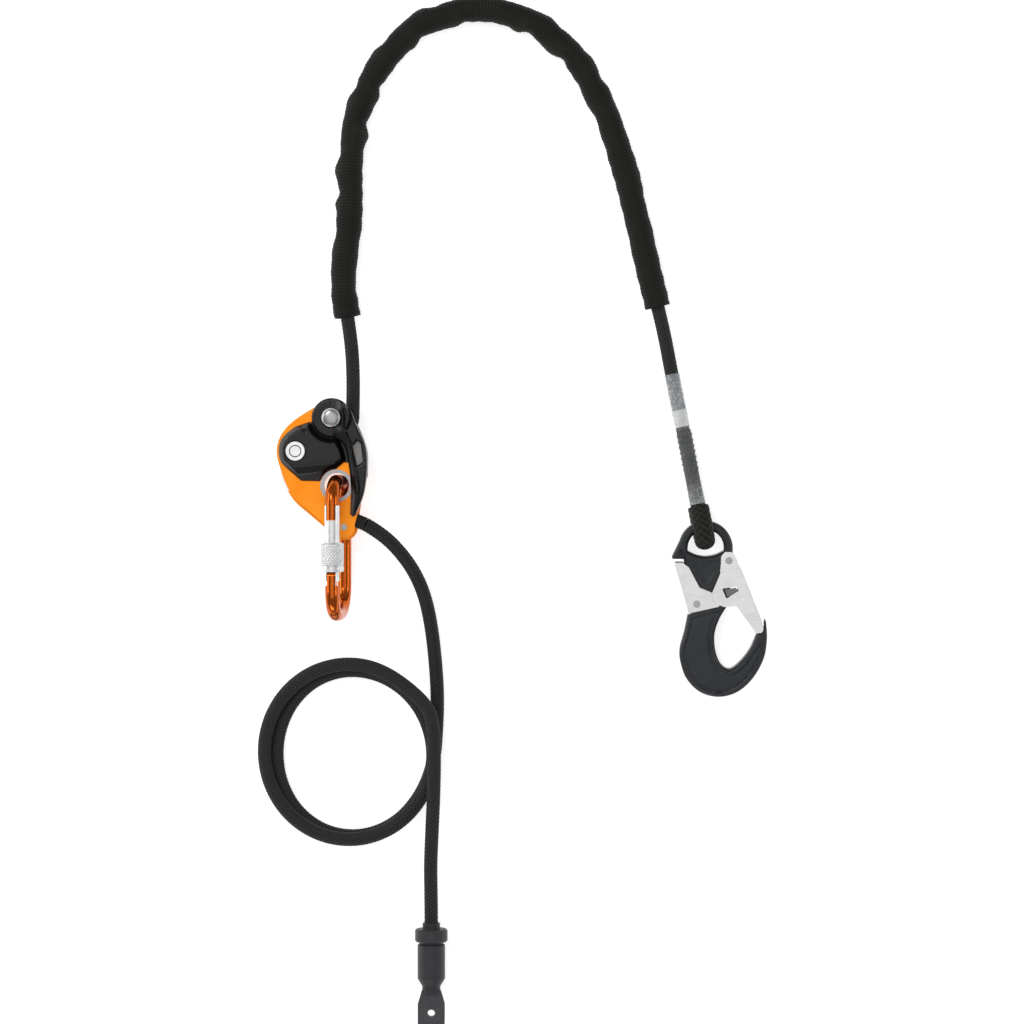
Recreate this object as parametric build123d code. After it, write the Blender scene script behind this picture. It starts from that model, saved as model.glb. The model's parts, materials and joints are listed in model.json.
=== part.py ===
from build123d import *
import math
import os

# Work-positioning lanyard with a lever-released rope grab, lying flat on the floor.
# Millimetres. +X runs from the rope grab to the snap hook, +Y along the rope's arch,
# +Z up from the floor. Local frames: the rope grab is drawn about its attachment eye,
# the carabiner in its own plane about its middle, the hook about the centre of its eye.

# ---- rope -------------------------------------------------------------------
ROPE_R = 5.25
FLOOR_Z = ROPE_R

# ---- rope grab --------------------------------------------------------------
GRAB_AT = (-139.8, 46.4, 0.0)
PLATE_T = 2.5
REAR_Z = 12.0
GAP = 11.5
FRONT_Z = REAR_Z + PLATE_T + GAP
FACE_Z = FRONT_Z + PLATE_T
CHANNEL_Z = REAR_Z + PLATE_T + GAP / 2
SLIP = 0.05
LOOSE = 0.3

LEVER_AXLE = (-3.6, 50.8)
CAM_AXLE = (-30.5, 25.8)
TAIL_RIVET = (5.5, -31.2)
AXLE_R = 4.6
AXLE_HEAD_R = 6.9
CAM_AXLE_R = 5.0
CAM_DISC_R = 7.1
SPACER_R = 8.0
TAIL_PIN_R = 1.5
TAIL_SPACER_R = 2.6
TAIL_R = 8.2

EYE_R = 9.6
EYE_TUBE_R = 11.2
EYE_FLANGE_R = 12.2
EYE_PROUD = 0.6
BOLLARD_R = 13.4
WRAP_R = BOLLARD_R + ROPE_R + 0.25
CAM_FACE_R = WRAP_R + ROPE_R + 0.4

LEVER_BOTTOM = FACE_Z + 0.9
LEVER_TOP = 39.5
LEVER_BOSS_R = 15.0
LEVER_REAR_BOTTOM = 4.5
LEVER_REAR_TOP = REAR_Z - LOOSE
WALL_LOW_Z = 20.0
COVER_STEP_Z = 32.0
COVER_TOP_Z = 36.5

# ---- carabiner --------------------------------------------------------------
STOCK_R = 5.2
LEAN = 8.2
HALF_WIDTH = 24.0
MID_Z = 28.9
MID_X = 1.4
TOP_V = 3.0
BOTTOM_V = -96.4
NOSE_END_V = -25.5
PRONG_TOP_V = -15.0
CROSS_PIN_V = -20.4
GATE_PIVOT_V = -67.5
GATE_END_V = -71.3
BARREL_R = 5.6
FORK_SLOT = 7.0
TONGUE_T = 6.2
PIN_R = 1.3
SLEEVE_R = 8.75
SLEEVE_TOP_V = -42.7
SLEEVE_LENGTH = 21.7

# ---- snap hook --------------------------------------------------------------
HOOK_TILT = 5.6
HOOK_AT = (138.2, -0.4, 15.8)
BODY_HALF = 4.5
BODY_CHAMFER = 0.9
SHEET_T = 1.2
INNER_SHEET = BODY_HALF + 0.2
OUTER_SHEET = INNER_SHEET + SHEET_T + 0.2
EYE_OUTER = 20.3
EYE_INNER = 13.7
GATE_RIVET = (17.3, -9.2)
LEVER_RIVET = (-6.7, -42.1)
RIVET_R = 1.9
RIVET_HEAD_R = 2.7

# ---- rope route (x, y, z), from the rope's end in the splice to the end stop ----
LOOP_LOW_Z = 6.4
LOOP_HIGH_Z = 28.7
DOUBLE_Z = 17.2
THROAT = (119.4, 99.9)
LOOP_DIR = (0.187, -0.982)
SPLICE_FROM = 11.0
FLARE_FROM = 45.0
FLARE_Z = 23.6
SHEATH_END = 67.5
SHEATH_OUT = 6.35
SHEATH_IN = 5.85
LABEL_R = (5.35, 5.75)
LABEL_WIDTH = 13.0
GUARD_FROM = 70.8
BAND_COUNT = 7
BAND_FROM = 15.0
BAND_PITCH = 4.3
BAND_WIDTH = 1.4
BAND_R = (5.45, 5.8)
TURN_AT = 97.4
TURN_R = (LOOP_HIGH_Z - LOOP_LOW_Z) / 2 - 0.05
SHOULDER_AT = TURN_AT - 20
SHOULDER_R = 24.0
MEET_AT = TURN_AT - 41
WEBBING_Z = 9.5
EXIT = (-118.5, 17.4, CHANNEL_Z)

WEBBING_ROUTE = [
    (-132.4, 174, WEBBING_Z), (-136.4, 198, WEBBING_Z), (-133.6, 227, WEBBING_Z),
    (-130, 256, WEBBING_Z), (-131.2, 287, WEBBING_Z), (-127.4, 318, WEBBING_Z),
    (-119.4, 345, WEBBING_Z), (-103.8, 371, WEBBING_Z), (-81.8, 394, WEBBING_Z),
    (-56.3, 404, WEBBING_Z), (-30.3, 408, WEBBING_Z), (-5.8, 403.5, WEBBING_Z),
    (17.7, 391.5, WEBBING_Z), (39.7, 371.5, WEBBING_Z), (56.7, 344, WEBBING_Z),
    (69.2, 313, WEBBING_Z), (79, 280, WEBBING_Z), (87.4, 246, WEBBING_Z),
    (94.7, 212, WEBBING_Z), (102.6, 181, WEBBING_Z),
]
GRAB_TOP = [(-127.9, 104, CHANNEL_Z), (-127.7, 127, 17.5), (-129.0, 150, 12.2)]
HOOK_END = [(108.0, 158, 7.6), (113.0, 131, LOOP_LOW_Z)]
LOWER_ROUTE = [
    EXIT, (-107.5, 11.0, 18.0), (-95.0, -0.5, 13.5), (-83.0, -16.5, 8.5),
    (-74.4, -35.5, 5.6), (-69.2, -59, FLOOR_Z), (-66.1, -86, FLOOR_Z),
    (-64.4, -112, FLOOR_Z), (-64.8, -134, FLOOR_Z),
]

# ---- the loop lying in the tail, and the end stop ----
LOOP_AT = (-131.6, -155.1)
LOOP_OUTER = (70.5, 73.0)
LOOP_INNER = (53.7, 59.1)
LOOP_INNER_SHIFT = (3.0, -1.8)
LOOP_HEIGHT = 4 * ROPE_R
OVER_Z = 5 * ROPE_R
TAIL_ROUTE = [
    (-67.4, -198, OVER_Z), (-68.4, -218, 24.5), (-69.4, -240, 19.5),
    (-69.2, -262, 14.0), (-69.0, -284, 12.4),
]
STOP_AXIS_Z = 12.4
STOP_FLANGE_R = 12.3
STOP_BARREL_R = 10.4
STOP_HOLE_R = 2.8
STOP_TAB_T = 7.0


# ---- helpers ------------------------------------------------------------------

def slab(outline, low, high, taper=0):
    """A flat piece between two heights, from a closed outline."""
    face = Pos(0, 0, low) * make_face(outline)
    return extrude(face, amount=high - low, dir=(0, 0, 1), taper=taper)


def rounded(points, radius):
    """A closed outline with rounded corners."""
    return FilletPolyline(*points, radius=radius, close=True)


def disc(at, radius, low, high):
    """A round piece standing on a point of the plane."""
    return Pos(at[0], at[1], (low + high) / 2) * Cylinder(radius, high - low)


def polar(radius, degrees, centre=(0, 0)):
    """A point at a radius and an angle about a centre."""
    turn = math.radians(degrees)
    return (centre[0] + radius * math.cos(turn), centre[1] + radius * math.sin(turn))


def block(low, high):
    """A box between two corners."""
    size = [high[i] - low[i] for i in range(3)]
    middle = [(high[i] + low[i]) / 2 for i in range(3)]
    return Pos(*middle) * Box(*size)


def coil_spring(at, radius, wire, pitch, turns, low):
    """A short helical spring standing on a point."""
    path = Helix(pitch=pitch, height=pitch * turns, radius=radius)
    section = Plane(origin=path @ 0, z_dir=path % 0) * Circle(wire / 2)
    return Pos(at[0], at[1], low) * sweep(section, path=path, is_frenet=True)


def corner_radii(points, tight=()):
    """Arc radius for each inner point of a route; tight maps an index to a set radius."""
    tight = dict(tight)
    spots = [Vector(*p) for p in points]
    radii = []
    for i in range(1, len(spots) - 1):
        before = spots[i] - spots[i - 1]
        after = spots[i + 1] - spots[i]
        turn = math.radians(before.get_angle(after))
        shorter = min(before.length, after.length)
        radii.append(tight.get(i, 0.45 * shorter / math.tan(turn / 2)))
    return radii


def route_wire(points, tight=()):
    """Straight runs joined by tangent arcs."""
    return FilletPolyline(*points, radius=corner_radii(points, tight))


def along(wire, section):
    """Sweep a flat section along a wire."""
    return sweep(Plane(origin=wire @ 0, z_dir=wire % 0) * section, path=wire)


def rope_tube(name, points, tight=()):
    """A plain rope solid, with its radii and its volume against its length printed."""
    wire = route_wire(points, tight)
    solid = along(wire, Circle(ROPE_R))
    share = solid.volume / (math.pi * ROPE_R**2 * wire.length)
    radii = " ".join(f"{r:.0f}" for r in corner_radii(points, tight))
    print(f"{name}: length {wire.length:.1f} mm, volume share {share:.4f}, radii {radii}")
    return solid


# ---- frames -------------------------------------------------------------------

def grab_frame():
    return Location(GRAB_AT)


def carabiner_frame():
    """Local x runs from the spine to the gate, y along the carabiner, z square to its plane."""
    lean = math.radians(LEAN)
    across = (-math.sin(lean), 0, math.cos(lean))
    square = (-math.cos(lean), 0, -math.sin(lean))
    origin = (GRAB_AT[0] + MID_X, GRAB_AT[1], MID_Z)
    return Plane(origin=origin, x_dir=across, z_dir=square).location


def hook_frame():
    return Location(HOOK_AT, (HOOK_TILT, 0, 0))


# ---- rope grab: frame -----------------------------------------------------------

def plate_outline(grow):
    """Side plate outline; grow widens its lower left edge and its tail."""
    left = Spline(
        (-12.5, 61.2), (-30.0, 50.4), (-41.2, 39.0), (-45.0, 27.0),
        (-42.2 - grow / 2, 12.5), (-35.1 - grow, -4.4 - grow / 2), (-24.0 - grow, -16.0 - grow),
    )
    foot = polar(TAIL_R + grow, 227, TAIL_RIVET)
    toe = polar(TAIL_R + grow, 270, TAIL_RIVET)
    heel = polar(TAIL_R + grow, 12, TAIL_RIVET)
    crown = ThreePointArc((9.0, 52.0), polar(13.2, 72, LEVER_AXLE), (-12.5, 61.2))
    return [
        left, Line(left @ 1, foot), ThreePointArc(foot, toe, heel),
        Line(heel, (17.6, -15)), Line((17.6, -15), (18.6, 8)), Line((18.6, 8), (14.5, 36)),
        Line((14.5, 36), (9.0, 52.0)), crown,
    ]


def side_plate(low, grow):
    plate = slab(plate_outline(grow), low, low + PLATE_T)
    plate -= disc((0, 0), EYE_TUBE_R + SLIP, low - 1, low + PLATE_T + 1)
    plate -= disc(LEVER_AXLE, AXLE_R + SLIP, low - 1, low + PLATE_T + 1)
    plate -= disc(CAM_AXLE, CAM_AXLE_R + SLIP, low - 1, low + PLATE_T + 1)
    plate -= disc(TAIL_RIVET, TAIL_PIN_R + SLIP, low - 1, low + PLATE_T + 1)
    return plate


def eye_bush():
    flange = disc((0, 0), EYE_FLANGE_R, FACE_Z, FACE_Z + EYE_PROUD)
    tube = disc((0, 0), EYE_TUBE_R, REAR_Z, FACE_Z)
    bore = disc((0, 0), EYE_R, REAR_Z - 1, FACE_Z + 2)
    bush = flange + tube - bore
    return chamfer(bush.edges().filter_by(GeomType.CIRCLE).sort_by(Axis.Z)[:1], 0.6)


def rope_bollard():
    ring = disc((0, 0), BOLLARD_R, REAR_Z + PLATE_T + 0.1, FRONT_Z - 0.1)
    return ring - disc((0, 0), EYE_TUBE_R + SLIP, REAR_Z, FACE_Z)


def axle_spacer():
    ring = disc(LEVER_AXLE, SPACER_R, REAR_Z + PLATE_T + 0.1, FRONT_Z - 0.1)
    return ring - disc(LEVER_AXLE, AXLE_R + SLIP, REAR_Z, FACE_Z)


def lever_axle():
    shaft = disc(LEVER_AXLE, AXLE_R, 2.0, LEVER_TOP + 0.6)
    rear_head = disc(LEVER_AXLE, AXLE_HEAD_R - 0.4, 1.2, 3.2)
    dome = Pos(LEVER_AXLE[0], LEVER_AXLE[1], LEVER_TOP - 5.2) * Sphere(9.2)
    dome &= disc(LEVER_AXLE, AXLE_HEAD_R, LEVER_TOP + 0.2, LEVER_TOP + 8)
    return shaft + rear_head + dome


def cam_axle():
    shaft = disc(CAM_AXLE, CAM_AXLE_R, REAR_Z - 1.4, COVER_TOP_Z + 1.0)
    rear_head = disc(CAM_AXLE, CAM_DISC_R - 0.6, REAR_Z - 1.6, REAR_Z)
    front_head = disc(CAM_AXLE, CAM_DISC_R, COVER_TOP_Z - 0.9, COVER_TOP_Z + 1.2)
    groove = disc(CAM_AXLE, 4.4, COVER_TOP_Z + 0.9, COVER_TOP_Z + 2)
    groove -= disc(CAM_AXLE, 3.9, COVER_TOP_Z, COVER_TOP_Z + 2)
    return shaft + rear_head + front_head - groove


def tail_rivet():
    pin = disc(TAIL_RIVET, TAIL_PIN_R, REAR_Z - 0.6, FACE_Z + 0.9)
    rear_head = disc(TAIL_RIVET, 2.4, REAR_Z - 0.8, REAR_Z)
    front_head = disc(TAIL_RIVET, 2.4, FACE_Z, FACE_Z + 0.9)
    return pin + rear_head + front_head


def tail_spacer():
    ring = disc(TAIL_RIVET, TAIL_SPACER_R, REAR_Z + PLATE_T + 0.1, FRONT_Z - 0.1)
    return ring - disc(TAIL_RIVET, TAIL_PIN_R + SLIP, REAR_Z, FACE_Z)


def front_cover():
    """Moulded cover over the cam axle: a low skirt with a raised, flat-topped housing."""
    skirt = rounded([
        (-21.5, 51.6), (-31.2, 44.2), (-37.6, 39.2), (-42.4, 32.8), (-43.0, 24.5),
        (-41.8, 16.9), (-35.1, 11.1), (-26.4, 3.0), (-11.8, 2.6), (-8.6, 9.6),
        (1.7, 14.2), (7.2, 18.4), (3.0, 33.0), (-8.0, 40.0),
    ], 1.4)
    housing = Polyline(
        (-22.5, 47.0), (-30.4, 41.6), (-40.0, 32.0), (-40.6, 25.0), (-39.4, 18.5),
        (-32.5, 14.0), (-15.0, 13.0), (3.4, 15.6), (5.9, 18.9), (2.4, 31.8), (-8.0, 38.0),
        close=True,
    )
    cover = slab(skirt, FACE_Z, COVER_STEP_Z)
    cover += slab(housing, COVER_STEP_Z - 0.5, COVER_TOP_Z, taper=22)
    cover += disc(CAM_AXLE, CAM_DISC_R + 2.2, COVER_STEP_Z - 1, COVER_TOP_Z)
    cover -= disc(LEVER_AXLE, LEVER_BOSS_R + 1.6, FACE_Z - 1, COVER_TOP_Z + 1)
    cover -= disc((0, 0), EYE_FLANGE_R + 0.2, FACE_Z - 1, COVER_TOP_Z + 1)
    cover -= disc(CAM_AXLE, CAM_DISC_R + 0.5, COVER_TOP_Z - 1.2, COVER_TOP_Z + 1)
    cover -= disc(CAM_AXLE, CAM_AXLE_R + SLIP, FACE_Z - 1, COVER_TOP_Z)
    return cover


# ---- rope grab: cam and lever ------------------------------------------------------

def cam():
    """Steel cam that squeezes the rope against the bollard."""
    face_top = polar(CAM_FACE_R, 152)
    face_mid = polar(CAM_FACE_R, 180)
    face_low = polar(CAM_FACE_R, 206)
    outline = [
        ThreePointArc(face_top, face_mid, face_low),
        Line(face_low, (-25.5, -11.0)), Line((-25.5, -11.0), (-36.2, -3.6)),
        Spline((-36.2, -3.6), (-39.9, 0.5), (-41.4, 8.0), (-40.6, 22.0)),
        ThreePointArc((-40.6, 22.0), polar(10.6, 95, CAM_AXLE), (-21.0, 21.0)),
        Line((-21.0, 21.0), face_top),
    ]
    low = REAR_Z + PLATE_T + LOOSE
    high = FRONT_Z - LOOSE
    solid = slab(outline, low, high)
    solid -= disc(CAM_AXLE, CAM_AXLE_R + SLIP, low - 1, high + 1)
    return solid - disc(CAM_AXLE, 8.0, high - 5.4, high + 1)


def cam_spring():
    return coil_spring(CAM_AXLE, 6.5, 1.1, 1.4, 3, FRONT_Z - LOOSE - 4.8)


def lever_spring():
    return coil_spring(LEVER_AXLE, 6.6, 1.3, 1.5, 3, FACE_Z + 1.2)


def lever_outline():
    """The lever seen from the front: a round boss and a curved arm down to the tip."""
    crown_end = polar(LEVER_BOSS_R, 49, LEVER_AXLE)
    crown_start = polar(LEVER_BOSS_R, 276, LEVER_AXLE)
    outer = Spline(crown_end, (11.0, 56.6), (15.8, 44.6), (21.6, 31.4), (23.4, 18.5),
                   (22.6, 4.0), (20.2, -8.4), (14.9, -21.4))
    tip = ThreePointArc((14.9, -21.4), (12.4, -23.4), (10.5, -21.2))
    inner = Spline((10.5, -21.2), (10.9, 0.5), (9.0, 17.6), (6.0, 30.0), crown_start)
    crown = ThreePointArc(crown_start, polar(LEVER_BOSS_R, 190, LEVER_AXLE), crown_end)
    return [outer, tip, inner, crown]


def release_lever():
    """U-shaped lever: front leaf, side wall and short rear leaf, on one axle."""
    front = slab(lever_outline(), LEVER_BOTTOM, LEVER_TOP)
    wall = rounded([
        (19.0, 35.5), (22.2, 26.0), (22.9, 18.5), (22.2, 4.0), (20.0, -7.4),
        (18.7, -8.2), (19.3, 4.0), (19.2, 12.0), (17.2, 31.0),
    ], 0.5)
    lower = slab(wall, WALL_LOW_Z, LEVER_BOTTOM + 1)
    deep = slab(wall, LEVER_REAR_BOTTOM, LEVER_BOTTOM) & block((10, 6, 0), (40, 60, 40))
    rear = slab(rounded([
        (-3.6, 63.3), (8.5, 57.0), (16.5, 43.0), (22.3, 26.0), (22.6, 7.0), (19.2, 6.0),
        (17.2, 16.0), (11.0, 30.0), (2.8, 38.9), (-3.6, 38.3),
    ], 1.0), LEVER_REAR_BOTTOM, LEVER_REAR_TOP)
    rear += disc(LEVER_AXLE, 12.5, LEVER_REAR_BOTTOM, LEVER_REAR_TOP)
    lever = front + lower + deep + rear
    lever -= disc(LEVER_AXLE, AXLE_R + SLIP, 0, LEVER_TOP + 1)
    lever -= disc(LEVER_AXLE, 8.2, LEVER_BOTTOM - 1, FACE_Z + 6.6)
    lever -= slab(window_outline(0), LEVER_BOTTOM + 1.7, LEVER_TOP + 1)
    return lever - slab(window_outline(1.0), LEVER_BOTTOM - 1, LEVER_BOTTOM + 3.2)


def window_outline(grow):
    """The opening in the lever's flank that shows the steel plate behind it."""
    return rounded([
        (12.4 - grow, 29.4), (16.2, 33.6 + grow), (18.6 + grow, 31.4),
        (20.2 + grow, 18.0), (15.6, 14.6 - grow),
    ], 0.6)


def lever_wear_plate():
    return slab(window_outline(0.9), LEVER_BOTTOM + 1.2, LEVER_BOTTOM + 3.1)


# ---- carabiner ------------------------------------------------------------------

def carabiner_path():
    return [
        (HALF_WIDTH, NOSE_END_V, 0), (HALF_WIDTH, TOP_V, 0), (-HALF_WIDTH, TOP_V, 0),
        (-HALF_WIDTH, BOTTOM_V, 0), (HALF_WIDTH, BOTTOM_V, 0), (HALF_WIDTH, GATE_PIVOT_V, 0),
    ]


def carabiner_body():
    """Bent round stock, flattened to a hooked nose at one end and a hinge tongue at the other."""
    wire = FilletPolyline(*carabiner_path(), radius=[17, 15, 22, 17])
    body = along(wire, Circle(STOCK_R))
    body += disc((HALF_WIDTH, GATE_PIVOT_V), 3.2, -TONGUE_T / 2, TONGUE_T / 2)
    flat = TONGUE_T / 2
    for side in (-1, 1):
        nose_cut = sorted((side * flat, side * 9))
        body -= block((HALF_WIDTH - 9, NOSE_END_V - 2, nose_cut[0]),
                      (HALF_WIDTH + 9, PRONG_TOP_V + 0.6, nose_cut[1]))
        body -= block((HALF_WIDTH - 9, GATE_END_V - 3.4, nose_cut[0]),
                      (HALF_WIDTH + 9, GATE_PIVOT_V + 9, nose_cut[1]))
    body -= disc((HALF_WIDTH, GATE_PIVOT_V), PIN_R + SLIP, -9, 9)
    notch = PIN_R + 0.35
    body -= block((HALF_WIDTH - 9, CROSS_PIN_V - notch, -9),
                  (HALF_WIDTH + notch, CROSS_PIN_V + notch, 9))
    return carabiner_frame() * body


def carabiner_gate():
    """Hollow barrel with a fork at the top for the nose and one at the foot for the hinge."""
    turned = Rot(90, 0, 0)
    barrel = turned * Cylinder(BARREL_R, PRONG_TOP_V - GATE_END_V)
    gate = Pos(HALF_WIDTH, (PRONG_TOP_V + GATE_END_V) / 2, 0) * barrel
    slot = FORK_SLOT / 2
    gate -= block((HALF_WIDTH - 9, NOSE_END_V - 0.6, -slot), (HALF_WIDTH + 9, 0, slot))
    gate -= block((HALF_WIDTH - 9, GATE_END_V - 5, -slot),
                  (HALF_WIDTH + 9, GATE_PIVOT_V + 4.2, slot))
    bore = turned * Cylinder(2.5, 20)
    gate -= Pos(HALF_WIDTH, GATE_PIVOT_V + 14, 0) * bore
    gate -= disc((HALF_WIDTH, CROSS_PIN_V), PIN_R + SLIP, -9, 9)
    gate -= disc((HALF_WIDTH, GATE_PIVOT_V), PIN_R + SLIP, -9, 9)
    return carabiner_frame() * gate


def gate_pin(at_v, half_length):
    pin = disc((HALF_WIDTH, at_v), PIN_R, -half_length, half_length)
    return carabiner_frame() * pin


def gate_plunger():
    plunger = Pos(HALF_WIDTH, GATE_PIVOT_V + 6.2, 0) * Rot(90, 0, 0) * Cylinder(2.3, 4.8)
    return carabiner_frame() * plunger


def gate_spring():
    spring = Rot(-90, 0, 0) * coil_spring((0, 0), 1.8, 0.6, 1.5, 9, 0)
    return carabiner_frame() * Pos(HALF_WIDTH, GATE_PIVOT_V + 9.2, 0) * spring


def screw_sleeve():
    turned = Rot(90, 0, 0)
    sleeve = turned * Cylinder(SLEEVE_R, SLEEVE_LENGTH)
    sleeve = chamfer(sleeve.edges().filter_by(GeomType.CIRCLE), 0.8)
    sleeve -= turned * Cylinder(BARREL_R + SLIP, SLEEVE_LENGTH + 2)
    return carabiner_frame() * Pos(HALF_WIDTH, SLEEVE_TOP_V - SLEEVE_LENGTH / 2, 0) * sleeve


# ---- snap hook --------------------------------------------------------------------

def hook_outline():
    """Outer edge of the hook, from the right of the eye round to the left and the nose."""
    eye = ThreePointArc((EYE_OUTER, 0), (0, EYE_OUTER), (-19.6, 5.28))
    back = Spline((-13.4, -51.0), (-15.8, -63.3), (-19.1, -76.2), (-18.7, -86.6),
                  (-14.1, -99.4), (-3.6, -109.7), (10.4, -113.3), (24.3, -109.7),
                  (35.9, -99.4), (44.2, -84.3), (46.6, -69.5), (46.0, -56.5))
    mouth = Spline((38.8, -65.6), (33.7, -77.3), (25.6, -87.6), (18.5, -92.2),
                   (12.0, -88.4), (7.8, -78.5), (6.9, -65.6), (10.4, -54.0), (16.2, -44.1))
    return [
        eye, Line((-19.6, 5.28), (-25.6, -7.0)), Line((-25.6, -7.0), (-25.0, -8.2)),
        Line((-25.0, -8.2), (-16.6, -8.2)), Line((-16.6, -8.2), (-14.3, -28.0)),
        Line((-14.3, -28.0), (-10.8, -43.0)), Line((-10.8, -43.0), (-10.8, -50.4)),
        Line((-10.8, -50.4), (-13.4, -51.0)), back,
        ThreePointArc((46.0, -56.5), (45.2, -54.2), (44.3, -56.3)),
        Line((44.3, -56.3), (44.5, -60.0)), Line((44.5, -60.0), (42.4, -63.4)),
        Line((42.4, -63.4), (38.8, -65.6)), mouth,
        Line((16.2, -44.1), (17.8, -37.0)), Line((17.8, -37.0), (EYE_OUTER, -14.0)),
        Line((EYE_OUTER, -14.0), (EYE_OUTER, 0)),
    ]


def eye_hole_outline():
    """D-shaped rope eye: round towards the rope, flatter towards the hook."""
    left = polar(EYE_INNER, 190)
    right = polar(EYE_INNER, -10)
    return [
        ThreePointArc(right, (0, EYE_INNER), left),
        ThreePointArc(left, (0, -6.4), right),
    ]


def hook_body():
    """Flat forged body with a channelled face, a rope eye and slots for the two springs."""
    body = slab(hook_outline(), -BODY_HALF, BODY_HALF)
    body -= slab(eye_hole_outline(), -9, 9)
    crown = Cylinder(EYE_OUTER + 3, BODY_CHAMFER)
    crown -= Cone(EYE_OUTER, EYE_OUTER - BODY_CHAMFER, BODY_CHAMFER)
    crown &= block((-EYE_OUTER, 6, -9), (EYE_OUTER, EYE_OUTER, 9))
    lift = BODY_HALF - BODY_CHAMFER / 2
    body -= Pos(0, 0, lift) * crown
    body -= Pos(0, 0, -lift) * mirror(crown, about=Plane.XY)
    shield = rounded([
        (-10.6, -8.6), (0, -9.8), (10.6, -8.6), (7.6, -18.0), (0.0, -28.0), (-6.6, -19.0),
    ], 2.0)
    arrow = rounded([(-18.6, 0.2), (-20.6, -5.2), (-15.0, -5.8)], 0.8)
    panel = [
        Spline((-9.6, -54.0), (-12.0, -64.0), (-15.4, -77.0), (-14.6, -87.0), (-10.8, -97.2),
               (-1.6, -106.0), (10.4, -109.4), (22.2, -106.2), (32.6, -97.0), (40.2, -83.0),
               (42.2, -72.6)),
        Spline((42.2, -72.6), (36.6, -81.0), (28.6, -92.0), (18.6, -97.0), (8.0, -92.0),
               (3.6, -80.0), (2.8, -66.0), (6.6, -53.0), (9.6, -48.6)),
        Line((9.6, -48.6), (-9.6, -54.0)),
    ]
    for face in (-1, 1):
        low, high = sorted((face * (BODY_HALF - 0.6), face * 9))
        body -= slab(shield, low, high)
        body -= slab(arrow, low, high)
        body -= slab(panel, low, high)
    body -= disc(GATE_RIVET, RIVET_R + SLIP, -9, 9)
    body -= disc(LEVER_RIVET, RIVET_R + SLIP, -9, 9)
    body -= disc(GATE_RIVET, 5.4, -2.4, 2.4)
    body -= disc(LEVER_RIVET, 5.4, -2.4, 2.4)
    return hook_frame() * body


def hook_gate():
    """Folded sheet gate: two cheeks, stepped outwards below the ears, joined by a web."""
    ear = rounded([
        (11.4, -6.0), (14.2, -2.5), (19.4, -2.7), (22.2, -5.8), (26.4, -16.6),
        (10.4, -20.4), (11.2, -12.0),
    ], 2.4)
    cheek = rounded([
        (10.8, -18.6), (26.0, -14.6), (34.7, -36.6), (42.2, -54.0), (43.6, -61.0),
        (42.6, -63.8), (38.0, -64.2), (29.0, -51.7), (23.0, -43.6), (14.0, -44.2),
        (6.9, -41.6), (4.4, -34.0), (8.4, -24.6),
    ], 1.8)
    web = rounded([(25.0, -14.4), (26.2, -14.0), (42.4, -54.4), (41.6, -56.6)], 0.3)
    window = rounded([(12.2, -30.2), (23.2, -28.7), (24.9, -31.9), (15.4, -37.9)], 0.8)
    gate = slab(web, -OUTER_SHEET - SHEET_T / 2, OUTER_SHEET + SHEET_T / 2)
    for face in (-1, 1):
        low, high = sorted((face * INNER_SHEET, face * (INNER_SHEET + SHEET_T)))
        gate += slab(ear, low, high)
        low, high = sorted((face * OUTER_SHEET, face * (OUTER_SHEET + SHEET_T)))
        gate += slab(cheek, low, high)
        low, high = sorted((face * INNER_SHEET, face * (OUTER_SHEET + SHEET_T)))
        step = rounded([(10.8, -18.6), (25.6, -14.8), (26.4, -16.8), (10.2, -20.8)], 0.5)
        gate += slab(step, low, high)
    gate -= slab(window, -20, 20)
    return hook_frame() * (gate - disc(GATE_RIVET, RIVET_R + SLIP, -20, 20))


def hook_lock_lever():
    """Folded sheet lever on the hook's back that is squeezed to free the gate."""
    cheek = rounded([
        (-23.9, -10.9), (-17.4, -10.9), (-12.9, -14.4), (-4.8, -29.6), (3.0, -32.8),
        (9.4, -35.6), (10.4, -44.0), (-12.8, -49.3),
    ], 1.2)
    web = rounded([(-23.9, -11.2), (-22.7, -11.0), (-11.7, -48.8), (-12.8, -49.3)], 0.3)
    lever = slab(web, -INNER_SHEET - SHEET_T / 2, INNER_SHEET + SHEET_T / 2)
    for face in (-1, 1):
        low, high = sorted((face * INNER_SHEET, face * (INNER_SHEET + SHEET_T)))
        lever += slab(cheek, low, high)
    return hook_frame() * (lever - disc(LEVER_RIVET, RIVET_R + SLIP, -20, 20))


def hook_rivet(at):
    """Rivet through both cheeks, with a head on each side."""
    reach = INNER_SHEET + SHEET_T + 0.1
    rivet = disc(at, RIVET_R, -reach - 0.5, reach + 0.5)
    for face in (-1, 1):
        low, high = sorted((face * reach, face * (reach + 0.9)))
        rivet += disc(at, RIVET_HEAD_R, low, high)
    return hook_frame() * rivet


def hook_spring(at):
    return hook_frame() * coil_spring(at, 3.6, 1.0, 1.2, 3, -1.8)


# ---- rope and what is on it ------------------------------------------------------------

def on_loop(distance, height):
    """A point on the straight line from the splice's throat to the hook's eye."""
    return (THROAT[0] + LOOP_DIR[0] * distance, THROAT[1] + LOOP_DIR[1] * distance, height)


def loop_points():
    """Rope round the eye: down the lower strand, round the bar and back on top."""
    return [
        on_loop(TURN_AT, LOOP_LOW_Z), on_loop(TURN_AT, LOOP_HIGH_Z),
        on_loop(SHOULDER_AT, LOOP_HIGH_Z), on_loop(MEET_AT, DOUBLE_Z), on_loop(12, DOUBLE_Z),
    ]


def upper_points():
    """From the top of the rope grab over the arch, through the splice and round the eye."""
    throat = [(THROAT[0], THROAT[1], LOOP_LOW_Z)]
    return GRAB_TOP + WEBBING_ROUTE + HOOK_END + throat + loop_points()


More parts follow.
